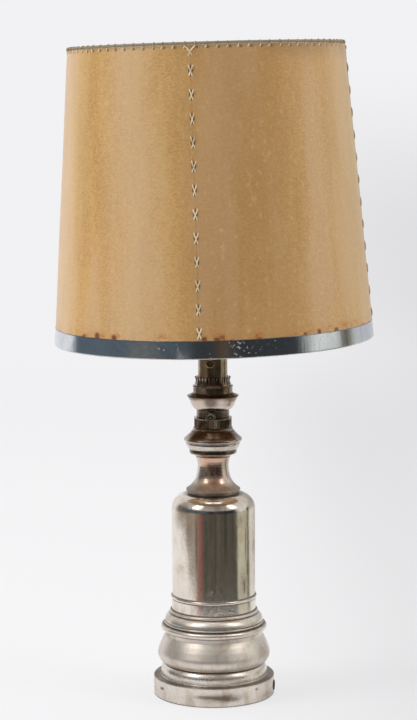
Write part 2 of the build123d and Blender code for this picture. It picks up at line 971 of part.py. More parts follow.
# ---------------------------------------------------------------- shade, made upright and then hung

hang = Pos(0, 0, fitter_z) * Rot(shade_lean_front, -shade_lean_left, 0) * Pos(0, 0, -fitter_rise)


def cone_r(height):
    """Outside radius of the parchment at a height above the shade's bottom edge."""
    return shade_bottom_r - shade_slope * height


def on_shade(angle, radius, height):
    """Point at an angle (from +X) on the upright shade."""
    return Vector(radius * cos(radians(angle)), radius * sin(radians(angle)), height)


def seam_angle(index):
    """Angle from +X of a seam at half the shade's height."""
    return seam_azimuth - 90 + index * seam_step


def parchment_panels():
    low = channel_floor_t + hem_gap
    high = shade_h - 2 * top_wire_r - hem_gap
    sheet = turned(
        (cone_r(low), low),
        (cone_r(high), high),
        (cone_r(high) - parchment_t, high),
        (cone_r(low) - parchment_t, low),
    )
    middle = Pos(cone_r(shade_h / 2), 0, shade_h / 2) * Rot(seam_lean, 0, 0)
    slit = middle * Box(shade_bottom_r / 2, seam_gap, 1.2 * shade_h)
    slits = [Rot(0, 0, seam_angle(index)) * slit for index in range(panel_count)]
    return hang * (sheet - slits)


def chrome_band():
    skin = channel_floor_t
    gap = 0.1
    outer_low = cone_r(0) + gap + skin
    outer_high = cone_r(band_height) + gap + skin
    inner_r = bottom_wire_ring_r() - bottom_wire_r - hem_gap
    return hang * turned(
        (outer_low - 1.2, 0),
        (outer_low, 1.2, 0.3),
        (outer_high, band_height),
        (outer_high - skin, band_height),
        (outer_low - skin, 1.2),
        (outer_low - skin, skin),
        (inner_r, skin),
        (inner_r, band_lip_h),
        (inner_r - skin, band_lip_h),
        (inner_r - skin, 0),
    )


def ring_wire(radius, height, wire_r):
    return Pos(0, 0, height) * Torus(radius, wire_r)


def bottom_wire():
    height = channel_floor_t + bottom_wire_r + hem_gap / 2
    return hang * ring_wire(bottom_wire_ring_r(), height, bottom_wire_r)


def bottom_wire_ring_r():
    height = channel_floor_t + bottom_wire_r
    return cone_r(height + bottom_wire_r) - parchment_t - hem_gap - bottom_wire_r


def top_wire():
    return hang * ring_wire(top_wire_ring_r(), shade_h - top_wire_r, top_wire_r)


def top_wire_ring_r():
    return cone_r(shade_h) - parchment_t / 2


def fitter_ring():
    return tube(fitter_bore_r, fitter_r, fitter_z, fitter_z + fitter_t)


def shade_arms():
    arms = []
    level = fitter_z + fitter_t + arm_wire_r
    foot_height = channel_floor_t + 2 * bottom_wire_r + arm_wire_r + hem_gap
    for index in range(arm_count):
        angle = arm_azimuth - 90 + index * 360 / arm_count
        foot = (hang * Pos(on_shade(angle, bottom_wire_ring_r(), foot_height))).position
        start = on_shade(angle, arm_start_r, level)
        bend = on_shade(angle, fitter_r + arm_level, level)
        path = FilletPolyline(start, bend, foot, radius=arm_bend_r)
        arms.append(sweep(Plane(origin=start, z_dir=path % 0) * Circle(arm_wire_r), path))
    return Compound(arms)


def seam_shift(height):
    """How far sideways a seam lies at a height, from where it is at half the shade's height."""
    return (shade_h / 2 - height) * tan(radians(seam_lean))


def lace_bar(angle, start, end):
    """Thread on the parchment between (sideways, height) points, beside the seam at the angle."""
    ends = []
    for sideways, height in (start, end):
        radius = cone_r(height) + lace_r + lace_gap
        along = sideways + seam_shift(height)
        ends.append(on_shade(angle + degrees(along / radius), radius, height))
    return rod_between(ends[0], ends[1], lace_r)


def seam_lacing(index):
    angle = seam_angle(index)
    half_w = cross_w / 2
    half_h = cross_h / 2
    stitches = []
    for count in range(cross_count):
        middle = cross_first + count * cross_pitch
        up = lace_bar(angle, (-half_w, middle - half_h), (half_w, middle + half_h))
        down = lace_bar(angle, (-half_w, middle + half_h), (half_w, middle - half_h))
        stitches.append(up + down)
    vee_top = shade_h - 2 * top_wire_r - vee_drop
    left = lace_bar(angle, (-vee_w / 2, vee_top), (0.3, vee_top - vee_h))
    right = lace_bar(angle, (vee_w / 2, vee_top), (-0.3, vee_top - vee_h))
    stitches.append(left + right)
    return hang * Compound([stitch.solid() for stitch in stitches])


def edge_lacing():
    """Stitches that go round the top wire and through the parchment below it."""
    ring_r = top_wire_ring_r()
    reach = top_wire_r + lace_r + lace_gap
    foot_z = shade_h - whip_drop
    foot_out = cone_r(foot_z) + lace_r + lace_gap
    foot_in = cone_r(foot_z) - parchment_t - lace_r - lace_gap
    top = shade_h + lace_r + lace_gap
    path = FilletPolyline(
        (foot_out, 0, foot_z),
        (ring_r + reach, 0, top - 2 * reach),
        (ring_r + reach, 0, top),
        (ring_r - reach, 0, top),
        (ring_r - reach, 0, top - 2 * reach),
        (foot_in, 0, foot_z),
        radius=0.9 * reach,
    )
    stitch = sweep(Plane(origin=path @ 0, z_dir=path % 0) * Circle(lace_r), path)
    step = seam_step / whip_per_panel
    count = panel_count * whip_per_panel
    first = seam_angle(0) + degrees(seam_shift(shade_h) / shade_top_r)
    turns = [first + (number + 0.5) * step for number in range(count)]
    return hang * Compound([(Rot(0, 0, turn) * stitch).solid() for turn in turns])


pieces = {
    "felt_pad": felt_pad(),
    "bottom_cover": bottom_cover(),
    "ballast": ballast(),
    "foot_plate": foot_plate(),
    "inlet_bush": inlet_bush(),
    "foot_drum": drum(),
    "foot_ring_lower": low_ring(),
    "foot_ring_upper": high_ring(),
    "body_band": body_band(),
    "body_disc": body_disc(),
    "body_shell": body_shell(),
    "neck": neck(),
    "neck_disc": neck_disc(),
    "burner_cup": burner_cup(),
    "knurled_ring": knurled_ring(),
    "burner_throat": burner_throat(),
    "gallery_ring": gallery_ring(),
    "gallery_prongs": gallery_prongs(),
    "stem_tube": stem_tube(),
    "stem_screw": stem_screw(),
    "threaded_rod": threaded_rod(),
    "base_nut": hex_nut(ballast_z + recess_h - washer_t - nut_h),
    "base_washer": washer(ballast_z + recess_h - washer_t),
    "stack_washer": washer(gallery_z),
    "stack_nut": hex_nut(gallery_z + washer_t),
    "rod_sleeve": rod_sleeve(),
    "winder_knob": winder_knob(),
    "winder_spindle": winder_spindle(),
    "winder_pinion": winder_pinion(),
    "winder_bush": winder_bush(),
    "wick_rack": wick_rack(),
    "wick_carrier": wick_carrier(),
    "air_tube": air_tube(),
    "holder_cap": holder_cap(),
    "holder_skirt": holder_skirt(),
    "holder_core": holder_core(),
    "holder_liner": holder_liner(),
    "screw_shell": screw_shell(),
    "centre_contact": centre_contact(),
    "terminal_screws": terminal_screws(),
    "clamp_ring_lower": clamp_ring(fitter_z - clamp_h),
    "clamp_ring_upper": clamp_ring(fitter_z + fitter_t),
    "bulb_tip": bulb_tip(),
    "bulb_plug": bulb_plug(),
    "bulb_cap": bulb_cap(),
    "bulb_glass": bulb_glass(),
    "bulb_stem": bulb_stem(),
    "bulb_filament": bulb_filament(),
    "fitter_ring": fitter_ring(),
    "shade_arms": shade_arms(),
    "shade_bottom_wire": bottom_wire(),
    "shade_top_wire": top_wire(),
    "chrome_band": chrome_band(),
    "parchment_panels": parchment_panels(),
    "edge_lacing": edge_lacing(),
}
for side, name in enumerate(("front", "right", "back", "left")):
    pieces[f"seam_lacing_{name}"] = seam_lacing(side)

os.makedirs("parts", exist_ok=True)
for name, piece in pieces.items():
    export_step(piece, f"parts/{name}.step")
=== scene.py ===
from math import atan, atan2, ceil, cos, degrees, hypot, pi, radians, sin, tan
from random import Random

import bmesh
import bpy
from bpy.props import FloatProperty, FloatVectorProperty, IntProperty, PointerProperty
from mathutils import Matrix, Vector


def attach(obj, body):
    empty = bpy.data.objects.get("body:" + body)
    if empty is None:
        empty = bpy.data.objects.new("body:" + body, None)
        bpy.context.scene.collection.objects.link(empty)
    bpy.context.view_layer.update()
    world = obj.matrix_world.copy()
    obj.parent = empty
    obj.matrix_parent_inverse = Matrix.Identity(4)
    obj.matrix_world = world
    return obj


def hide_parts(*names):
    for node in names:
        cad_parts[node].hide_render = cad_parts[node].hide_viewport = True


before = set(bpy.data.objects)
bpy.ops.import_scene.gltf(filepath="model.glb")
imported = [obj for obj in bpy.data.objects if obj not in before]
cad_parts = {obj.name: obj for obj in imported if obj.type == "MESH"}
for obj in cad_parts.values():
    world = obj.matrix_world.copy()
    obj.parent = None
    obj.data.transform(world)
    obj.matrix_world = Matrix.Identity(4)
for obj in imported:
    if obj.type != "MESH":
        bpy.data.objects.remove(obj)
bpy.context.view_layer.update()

bl_info = {
    "name": "Oil lamp turned table lamp",
    "version": (1, 0, 0),
    "blender": (4, 5, 0),
    "location": "3D View > Sidebar > Table lamp",
    "description": "Dresses the plated oil-lamp column, its burner and the laced parchment shade",
    "category": "Object",
}

MM = 0.001

# How spun sections are drawn: degrees of arc between points, the angle under which a corner is
# rounded, the run that gets points of its own, and how near its ends they stand, in millimetres.
ARC_STEP = 7.0
SHARP_BELOW = 155.0
LONG_RUN = 2.2
END_POINT = 0.35

# Tones of the coats on the plate: rosy silver, bare copper, a near black that is partly sooting and mostly
# painted shade, and the dirt in its seams.
ROSY_PLATE = (0.77, 0.675, 0.59)
COPPER_SHOWING = (0.66, 0.42, 0.30)
SOOT_AND_SHADE = (0.095, 0.058, 0.034)
SEAM_DIRT = (0.075, 0.055, 0.04)

# The camera, fitted to the photograph: focal length and picture height in pixels, place in metres,
# and pitch, yaw and roll in degrees.
FOCAL_PIXELS = 1990.523
PICTURE_HEIGHT = 720.0
SENSOR_MM = 36.0
CAMERA_PLACE = (0.0, -1.856965, 0.535335)
CAMERA_TURN = (6.639, -0.1209, -0.2746)

# The studio, in metres, and the colours of its far side and of the bright boxes that metal mirrors.
FLOOR_HALF_X, FLOOR_HALF_Y, FLOOR_SHIFT_Y = 30.0, 17.8, -12.2
WALL_HEIGHT, WALL_BEND = 3.4, 1.3
FAR_SIDE = (0.87, 0.87, 0.885)
BRIGHT_BOX = (4.4, 4.3, 4.15)

# ------------------------------------------------------------------ the shade's cone and how it hangs

SHADE_H = 272.6
BOTTOM_R = 148.7
TOP_R = 127.0
SEAM_AZIMUTH = -5.35
SEAM_LEAN = 0.7
SEAMS = 4
PANEL_GAP = 0.0001
# Rust over the band: azimuth, half width in degrees and height in millimetres.
RUST_MARKS = (
    (-51.5, 1.6, 4.0), (-44.3, 2.6, 7.5), (-36.4, 2.2, 6.5), (-3.2, 2.0, 6.0), (1.2, 2.6, 5.0),
    (33.0, 1.6, 4.0), (39.0, 1.8, 6.0), (47.5, 2.2, 4.5), (110.0, 2.2, 6.0), (168.0, 2.4, 5.0),
    (-120.0, 2.0, 6.0),
)
LOOPS = 84
LOOP_PITCH = 360.0 / LOOPS
LOOP_SLIMMER = 0.6
SHEET_WAVE = 0.00018
CROSS_PITCH = 20.5
CROSSES = [22.6 + CROSS_PITCH * index for index in range(12)]
HANG = (
    Matrix.Translation((0.0, 0.0, 0.400))
    @ Matrix.Rotation(radians(1.05), 4, "X")
    @ Matrix.Rotation(radians(-1.35), 4, "Y")
    @ Matrix.Translation((0.0, 0.0, -0.0606))
)


def cone_r(height):
    """Outside radius of the parchment at a height above the shade's lower edge, in millimetres."""
    return BOTTOM_R - (BOTTOM_R - TOP_R) * height / SHADE_H


def seam_shift(height):
    return (SHADE_H / 2 - height) * tan(radians(SEAM_LEAN))


def seam_angle(index, height):
    """Angle from +X of a seam at a height, in radians."""
    return radians(SEAM_AZIMUTH - 90.0 + 360.0 / SEAMS * index) + seam_shift(height) / cone_r(height)


# ------------------------------------------------------------------ sizes and colours


class LampShape(bpy.types.PropertyGroup):
    """Sizes that the dressed pieces share."""

    turning_steps: IntProperty(
        name="Turning steps", description="Faces round a spun piece", default=144, min=24,
    )
    edge: FloatProperty(
        name="Edge rounding", description="Rounding of the spun edges", default=0.00026, unit="LENGTH",
    )
    knurls: IntProperty(name="Knurls", description="Ribs round the knurled ring", default=72, min=12)
    prongs: IntProperty(name="Prongs", description="Tines of the gallery", default=30, min=6)
    thread: FloatProperty(
        name="Thread", description="Radius of the lacing thread", default=0.00056, unit="LENGTH",
    )
    sheet: FloatProperty(
        name="Parchment", description="Thickness of the parchment", default=0.0007, unit="LENGTH",
    )
    ridge: FloatProperty(
        name="Seam ridge", description="How far a seam's edges stand up", default=0.00022, unit="LENGTH",
    )


class LampFinish(bpy.types.PropertyGroup):
    """Colours that a user would change."""

    plate: FloatVectorProperty(
        name="Silver plate", description="Clean plate", subtype="COLOR", default=(0.82, 0.765, 0.70),
    )
    tarnish: FloatVectorProperty(
        name="Tarnish", description="Tarnished plate", subtype="COLOR", default=(0.36, 0.30, 0.225),
    )
    bronze: FloatVectorProperty(
        name="Burner", description="Worn burner metal", subtype="COLOR", default=(0.25, 0.20, 0.155),
    )
    brass: FloatVectorProperty(
        name="Brass", description="Aged brass", subtype="COLOR", default=(0.62, 0.47, 0.25),
    )
    parchment: FloatVectorProperty(
        name="Parchment", description="Light parchment", subtype="COLOR", default=(0.60, 0.360, 0.130),
    )
    parchment_dark: FloatVectorProperty(
        name="Dark parchment", description="Browned parchment", subtype="COLOR", default=(0.42, 0.222, 0.062),
    )
    thread: FloatVectorProperty(
        name="Thread", description="Lacing thread", subtype="COLOR", default=(0.84, 0.715, 0.49),
    )
    floor: FloatVectorProperty(
        name="Floor", description="Floor and backdrop", subtype="COLOR", default=(0.83, 0.83, 0.84),
    )


# ------------------------------------------------------------------ shader arithmetic


class Wire:
    """A shader socket that takes part in Python arithmetic."""

    def __init__(self, graph, socket):
        self.graph = graph
        self.socket = socket

    def __add__(self, other):
        return self.graph.maths("ADD", self, other)

    def __sub__(self, other):
        return self.graph.maths("SUBTRACT", self, other)

    def __rsub__(self, other):
        return self.graph.maths("SUBTRACT", other, self)

    def __mul__(self, other):
        return self.graph.maths("MULTIPLY", self, other)

    def __truediv__(self, other):
        return self.graph.maths("DIVIDE", self, other)

    def __pow__(self, other):
        return self.graph.maths("POWER", self, other)

    def __mod__(self, other):
        return self.graph.maths("FLOORED_MODULO", self, other)

    __radd__ = __add__
    __rmul__ = __mul__

    def clamped(self):
        return self.graph.maths("ADD", self, 0.0, clamp=True)

    def size(self):
        return self.graph.maths("ABSOLUTE", self)

    def step(self, low, high):
        """0 below low and 1 above high, smooth between; falling where low is above high."""
        falling = low > high
        inputs = {0: self, 1: min(low, high), 2: max(low, high), 3: float(falling), 4: float(not falling)}
        return self.graph.add("ShaderNodeMapRange", {"interpolation_type": "SMOOTHSTEP"}, inputs)

    def bump_at(self, middle, width):
        """1 where the value is at middle, falling to 0 at a width from it."""
        return (self - middle).size().step(width, 0.0)


class Graph:
    """A node tree that is written as expressions."""

    def __init__(self, tree):
        self.tree = tree
        tree.nodes.clear()

    def add(self, kind, settings=None, inputs=None, out=0):
        node = self.tree.nodes.new(kind)
        for name, value in (settings or {}).items():
            setattr(node, name, value)
        for key, value in (inputs or {}).items():
            socket = node.inputs[key]
            if isinstance(value, Wire):
                self.tree.links.new(value.socket, socket)
            elif socket.type == "RGBA":
                socket.default_value = (*value[:3], 1.0)
            else:
                socket.default_value = value
        return Wire(self, node.outputs[out])

    def maths(self, operation, *values, clamp=False):
        settings = {"operation": operation, "use_clamp": clamp}
        return self.add("ShaderNodeMath", settings, dict(enumerate(values)))

    def mix(self, factor, first, second):
        settings = {"data_type": "RGBA", "clamp_factor": True}
        return self.add("ShaderNodeMix", settings, {0: factor, 6: first, 7: second}, out=2)

    def place(self):
        return self.add("ShaderNodeTexCoord", out="Object")

    def axes(self, vector):
        parts = self.add("ShaderNodeSeparateXYZ", None, {0: vector})
        return [Wire(self, output) for output in parts.socket.node.outputs]

    def vector(self, x, y, z):
        return self.add("ShaderNodeCombineXYZ", None, {0: x, 1: y, 2: z})

    def turn_of(self, x, y):
        """Azimuth in degrees, 0 towards the front and positive to the right."""
        return self.maths("ARCTAN2", x, 0.0 - y) * (180.0 / pi)

    def round_about(self, place):
        """Azimuth in degrees and height in millimetres of a place."""
        x, y, z = self.axes(place)
        return self.turn_of(x, y), z * 1000.0

    def hung_place(self):
        """Place in the upright shade's own frame, from its axis and its lower edge."""
        inputs = {"Vector": self.place(), "Location": HANG.translation, "Rotation": HANG.to_euler()}
        return self.add("ShaderNodeMapping", {"vector_type": "TEXTURE"}, inputs)

    def noise(self, vector, scale, detail=4.0, roughness=0.55, distortion=0.0, stretch=None):
        if stretch:
            vector = self.add("ShaderNodeMapping", None, {"Vector": vector, "Scale": stretch})
        inputs = {
            "Vector": vector, "Scale": scale, "Detail": detail, "Roughness": roughness,
            "Distortion": distortion,
        }
        return self.add("ShaderNodeTexNoise", None, inputs)

    def dents(self, height, strength, distance, normal=None):
        inputs = {"Height": height, "Strength": strength, "Distance": distance}
        if normal:
            inputs["Normal"] = normal
        return self.add("ShaderNodeBump", None, inputs)

    def surface(self, **inputs):
        named = {key.replace("_", " "): value for key, value in inputs.items()}
        self.finish(self.add("ShaderNodeBsdfPrincipled", None, named))

    def finish(self, shader, kind="ShaderNodeOutputMaterial"):
        output = self.tree.nodes.new(kind)
        self.tree.links.new(shader.socket, output.inputs[0])


def new_finish(name):
    finish = bpy.data.materials.new(name)
    finish.use_nodes = True
    return finish, Graph(finish.node_tree)


def finish_of():
    return bpy.context.scene.lamp_finish


# ------------------------------------------------------------------ finishes


def silver_plate(name, seams=(), worn=0.5, rough=0.12, marks=(), shine=1.0, soot_and_shade=(), blush=()):
    """Rubbed and tarnished plate.

    seams are the heights in millimetres where dirt sits. marks are tarnished places, each given by
    its azimuth in degrees, height, half width in degrees, half height and strength. soot_and_shade and
    blush are such places too: the first nearly black, a little sooting but mostly painted shade, that is
    dark reflections painted into the plate's colour, and the second where the copper shows. shine below 1
    darkens the whole plate.
    """
    finish, graph = new_finish(name)
    colours = finish_of()
    place = graph.place()
    azimuth, height = graph.round_about(place)
    clouds = graph.noise(place, 52.0, 5.0, 0.62, 0.8, stretch=(1.0, 1.0, 0.6))
    spots = graph.noise(place, 330.0, 4.0, 0.65, 0.4)
    fine = graph.noise(place, 1100.0, 3.0, 0.6)
    rubbed = graph.noise(place, 150.0, 3.0, 0.6, stretch=(1.0, 1.0, 7.0))
    patches = clouds.step(0.60 - 0.16 * worn, 0.72 - 0.08 * worn)
    stain = patches * (0.25 + 0.6 * spots) * worn + spots.step(0.60, 0.76) * 0.45 * worn
    for mark_azimuth, mark_height, wide, high, strength in marks:
        there = azimuth.bump_at(mark_azimuth, wide) * height.bump_at(mark_height, high)
        stain = stain + there * (spots * 0.7 + clouds * 0.5).step(0.36, 0.62) * strength
    stain = stain.clamped()
    dirt = height * 0.0
    for seam in seams:
        dirt = dirt + height.bump_at(seam, 1.2) * 0.85
    dirt = (dirt * (0.5 + 0.8 * spots)).clamped()
    clean = tuple(shine * part for part in colours.plate)
    rosy = tuple(shine * part for part in ROSY_PLATE)
    warm = graph.mix(clouds.step(0.38, 0.62), clean, rosy)
    warm = graph.mix(fine.step(0.40, 0.70) * 0.25, warm, (0.55, 0.49, 0.42))
    colour = graph.mix(stain, warm, colours.tarnish)
    # Copper showing through, and a near black that is partly sooting and mostly painted shade: dark
    # reflections painted into the plate.
    for places, tone in ((blush, COPPER_SHOWING), (soot_and_shade, SOOT_AND_SHADE)):
        for mark_azimuth, mark_height, wide, high, strength in places:
            there = azimuth.bump_at(mark_azimuth, wide) * height.bump_at(mark_height, high) * 1.4
            colour = graph.mix(there.clamped() * (0.84 + 0.6 * (clouds - 0.5)) * strength, colour, tone)
    colour = graph.mix(dirt, colour, SEAM_DIRT)
    gloss = rough + 0.07 * rubbed + 0.10 * fine.step(0.45, 0.70) + 0.26 * stain + 0.16 * dirt
    dent = graph.dents(clouds, 0.07, 0.004)
    grain = graph.dents(spots * 0.5 + rubbed * 0.3 + fine * 0.2, 0.05, 0.0006, dent)
    graph.surface(Base_Color=colour, Metallic=1.0 - 0.25 * stain, Roughness=gloss, Normal=grain)
    return finish


def burner_metal(name, tone, worn=0.6, rough=0.12):
    """Burner brass whose plate has mostly gone, with brown patches."""
    finish, graph = new_finish(name)
    colours = finish_of()
    place = graph.place()
    clouds = graph.noise(place, 95.0, 5.0, 0.6, 0.8)
    spots = graph.noise(place, 520.0, 3.0, 0.6)
    pale = graph.mix(clouds.step(0.52, 0.74) * 0.5, tone, colours.plate)
    brown = graph.noise(place, 150.0, 4.0, 0.65, 0.5).step(0.50, 0.64)
    colour = graph.mix(brown * worn, pale, (0.17, 0.085, 0.042))
    dark = (spots.step(0.60, 0.74) * clouds.step(0.60, 0.44)).clamped()
    colour = graph.mix(dark * 0.7, colour, (0.07, 0.05, 0.035))
    bump = graph.dents(spots * 0.6 + clouds, 0.08, 0.0008)
    graph.surface(Base_Color=colour, Metallic=1.0, Roughness=rough + 0.06 * brown + 0.06 * spots, Normal=bump)
    return finish


def knob_finish(name):
    """Dark knob with the bright rings of its turning."""
    finish, graph = new_finish(name)
    place = graph.place()
    x, y, z = graph.axes(place)
    across = x * cos(radians(KNOB_AZIMUTH)) + y * sin(radians(KNOB_AZIMUTH))
    rise = z * 1000.0 - KNOB_HEIGHT
    from_middle = (across * across * 1000000.0 + rise * rise) ** 0.5
    rings = graph.maths("SINE", from_middle * (2.0 * pi / 1.35))
    spots = graph.noise(place, 420.0, 3.0, 0.6)
    colour = graph.mix(rings.step(0.25, 0.95), (0.15, 0.115, 0.09), (0.56, 0.51, 0.45))
    colour = graph.mix(spots.step(0.5, 0.7) * 0.6, colour, (0.10, 0.07, 0.05))
    bump = graph.dents(rings * 0.5 + spots * 0.3, 0.5, 0.0003)
    graph.surface(Base_Color=colour, Metallic=1.0, Roughness=0.14 + 0.12 * spots, Normal=bump)
    return finish


def turned_metal(name, tone, rough, pitch=0.0):
    """Plain turned or drawn metal; a pitch in millimetres adds the lines of a thread."""
    finish, graph = new_finish(name)
    place = graph.place()
    x, y, z = graph.axes(place)
    lines = graph.noise(place, 60.0, 3.0, stretch=(1.0, 1.0, 30.0))
    cloud = graph.noise(place, 70.0, 4.0)
    dark = tuple(0.55 * part for part in tone)
    colour = graph.mix(cloud.step(0.35, 0.75) * 0.6, tone, dark)
    height = lines * 0.15
    if pitch:
        turn = graph.maths("ARCTAN2", y, x)
        phase = z * (2000.0 * pi / pitch) + turn
        height = height + graph.maths("SINE", phase) * 0.5
    bump = graph.dents(height, 0.6 if pitch else 0.15, 0.0006)
    graph.surface(Base_Color=colour, Metallic=1.0, Roughness=rough + 0.18 * cloud, Normal=bump)
    return finish


def dull_finish(name, tone, rough, grain, depth=0.0003):
    """Felt, plastic, porcelain and cast iron: one tone, broken by its own grain."""
    finish, graph = new_finish(name)
    place = graph.place()
    fine = graph.noise(place, grain, 4.0, 0.6)
    broad = graph.noise(place, 40.0, 3.0)
    dark = tuple(0.7 * part for part in tone)
    colour = graph.mix(fine.step(0.3, 0.7) * 0.5 + broad * 0.3, tone, dark)
    bump = graph.dents(fine, 0.5, depth)
    graph.surface(Base_Color=colour, Roughness=rough + 0.12 * broad, Normal=bump)
    return finish


def clear_glass(name):
    finish, graph = new_finish(name)
    place = graph.place()
    smear = graph.noise(place, 60.0, 3.0)
    inputs = {"Base_Color": (0.97, 0.97, 0.95), "IOR": 1.45, "Transmission_Weight": 1.0}
    graph.surface(Roughness=0.01 + 0.05 * smear.step(0.5, 0.8), **inputs)
    return finish


def stem_brass(name):
    """Dark brass tube with lengthwise polish marks."""
    finish, graph = new_finish(name)
    place = graph.place()
    long_marks = graph.noise(place, 90.0, 4.0, 0.6, stretch=(6.0, 6.0, 0.25))
    cloud = graph.noise(place, 60.0, 4.0, 0.6, 0.6)
    colour = graph.mix(cloud.step(0.35, 0.65), (0.46, 0.365, 0.27), (0.26, 0.18, 0.12))
    bump = graph.dents(long_marks, 0.06, 0.0006)
    graph.surface(Base_Color=colour, Metallic=1.0, Roughness=0.09 + 0.10 * cloud, Normal=bump)
    return finish


def chrome_sheet(name):
    """Chromed band: faint rolling marks, cloudy patches, flaked specks and darkened edges."""
    finish, graph = new_finish(name)
    place = graph.hung_place()
    azimuth, height = graph.round_about(place)
    rolled = graph.noise(place, 150.0, 4.0, 0.6, stretch=(1.0, 1.0, 0.16))
    cloud = graph.noise(place, 34.0, 5.0, 0.62, 0.8, stretch=(1.0, 1.0, 0.6))
    fine = graph.noise(place, 700.0, 3.0, 0.6)
    flake = graph.noise(place, 300.0, 3.0, 0.55, 0.5).step(0.60, 0.645) * cloud.step(0.48, 0.58)
    flake = flake * (0.05 + azimuth.step(-30.0, -20.0) * azimuth.step(30.0, 18.0) * 0.6)
    colour = graph.mix(cloud.step(0.35, 0.7), (0.80, 0.835, 0.86), (0.64, 0.66, 0.70))
    colour = graph.mix(fine.step(0.50, 0.75) * 0.35, colour, (0.30, 0.31, 0.33))
    colour = graph.mix(flake, colour, (0.56, 0.57, 0.59))
    dull = azimuth.bump_at(-10.5, 4.5) * height.step(13.0, 4.0) * cloud.step(0.30, 0.55)
    colour = graph.mix(dull * 0.55, colour, (0.95, 0.90, 0.97))
    colour = graph.mix(azimuth.bump_at(1.8, 2.6) * 0.7, colour, (0.80, 0.72, 0.52))
    # Darker along the band's top and bottom edges.
    dirt = (height.step(15.2, 16.0) + height.step(1.3, 0.7) * 0.4) * fine.step(0.30, 0.55)
    colour = graph.mix(dirt.clamped() * 0.85, colour, (0.10, 0.085, 0.07))
    rough = 0.06 + 0.12 * cloud + 0.06 * fine + 0.35 * flake + 0.25 * dirt + 0.30 * dull
    bump = graph.dents(rolled * 0.7 + cloud, 0.12, 0.0014)
    graph.surface(Base_Color=colour, Metallic=1.0 - 0.7 * flake, Roughness=rough, Normal=bump)
    return finish


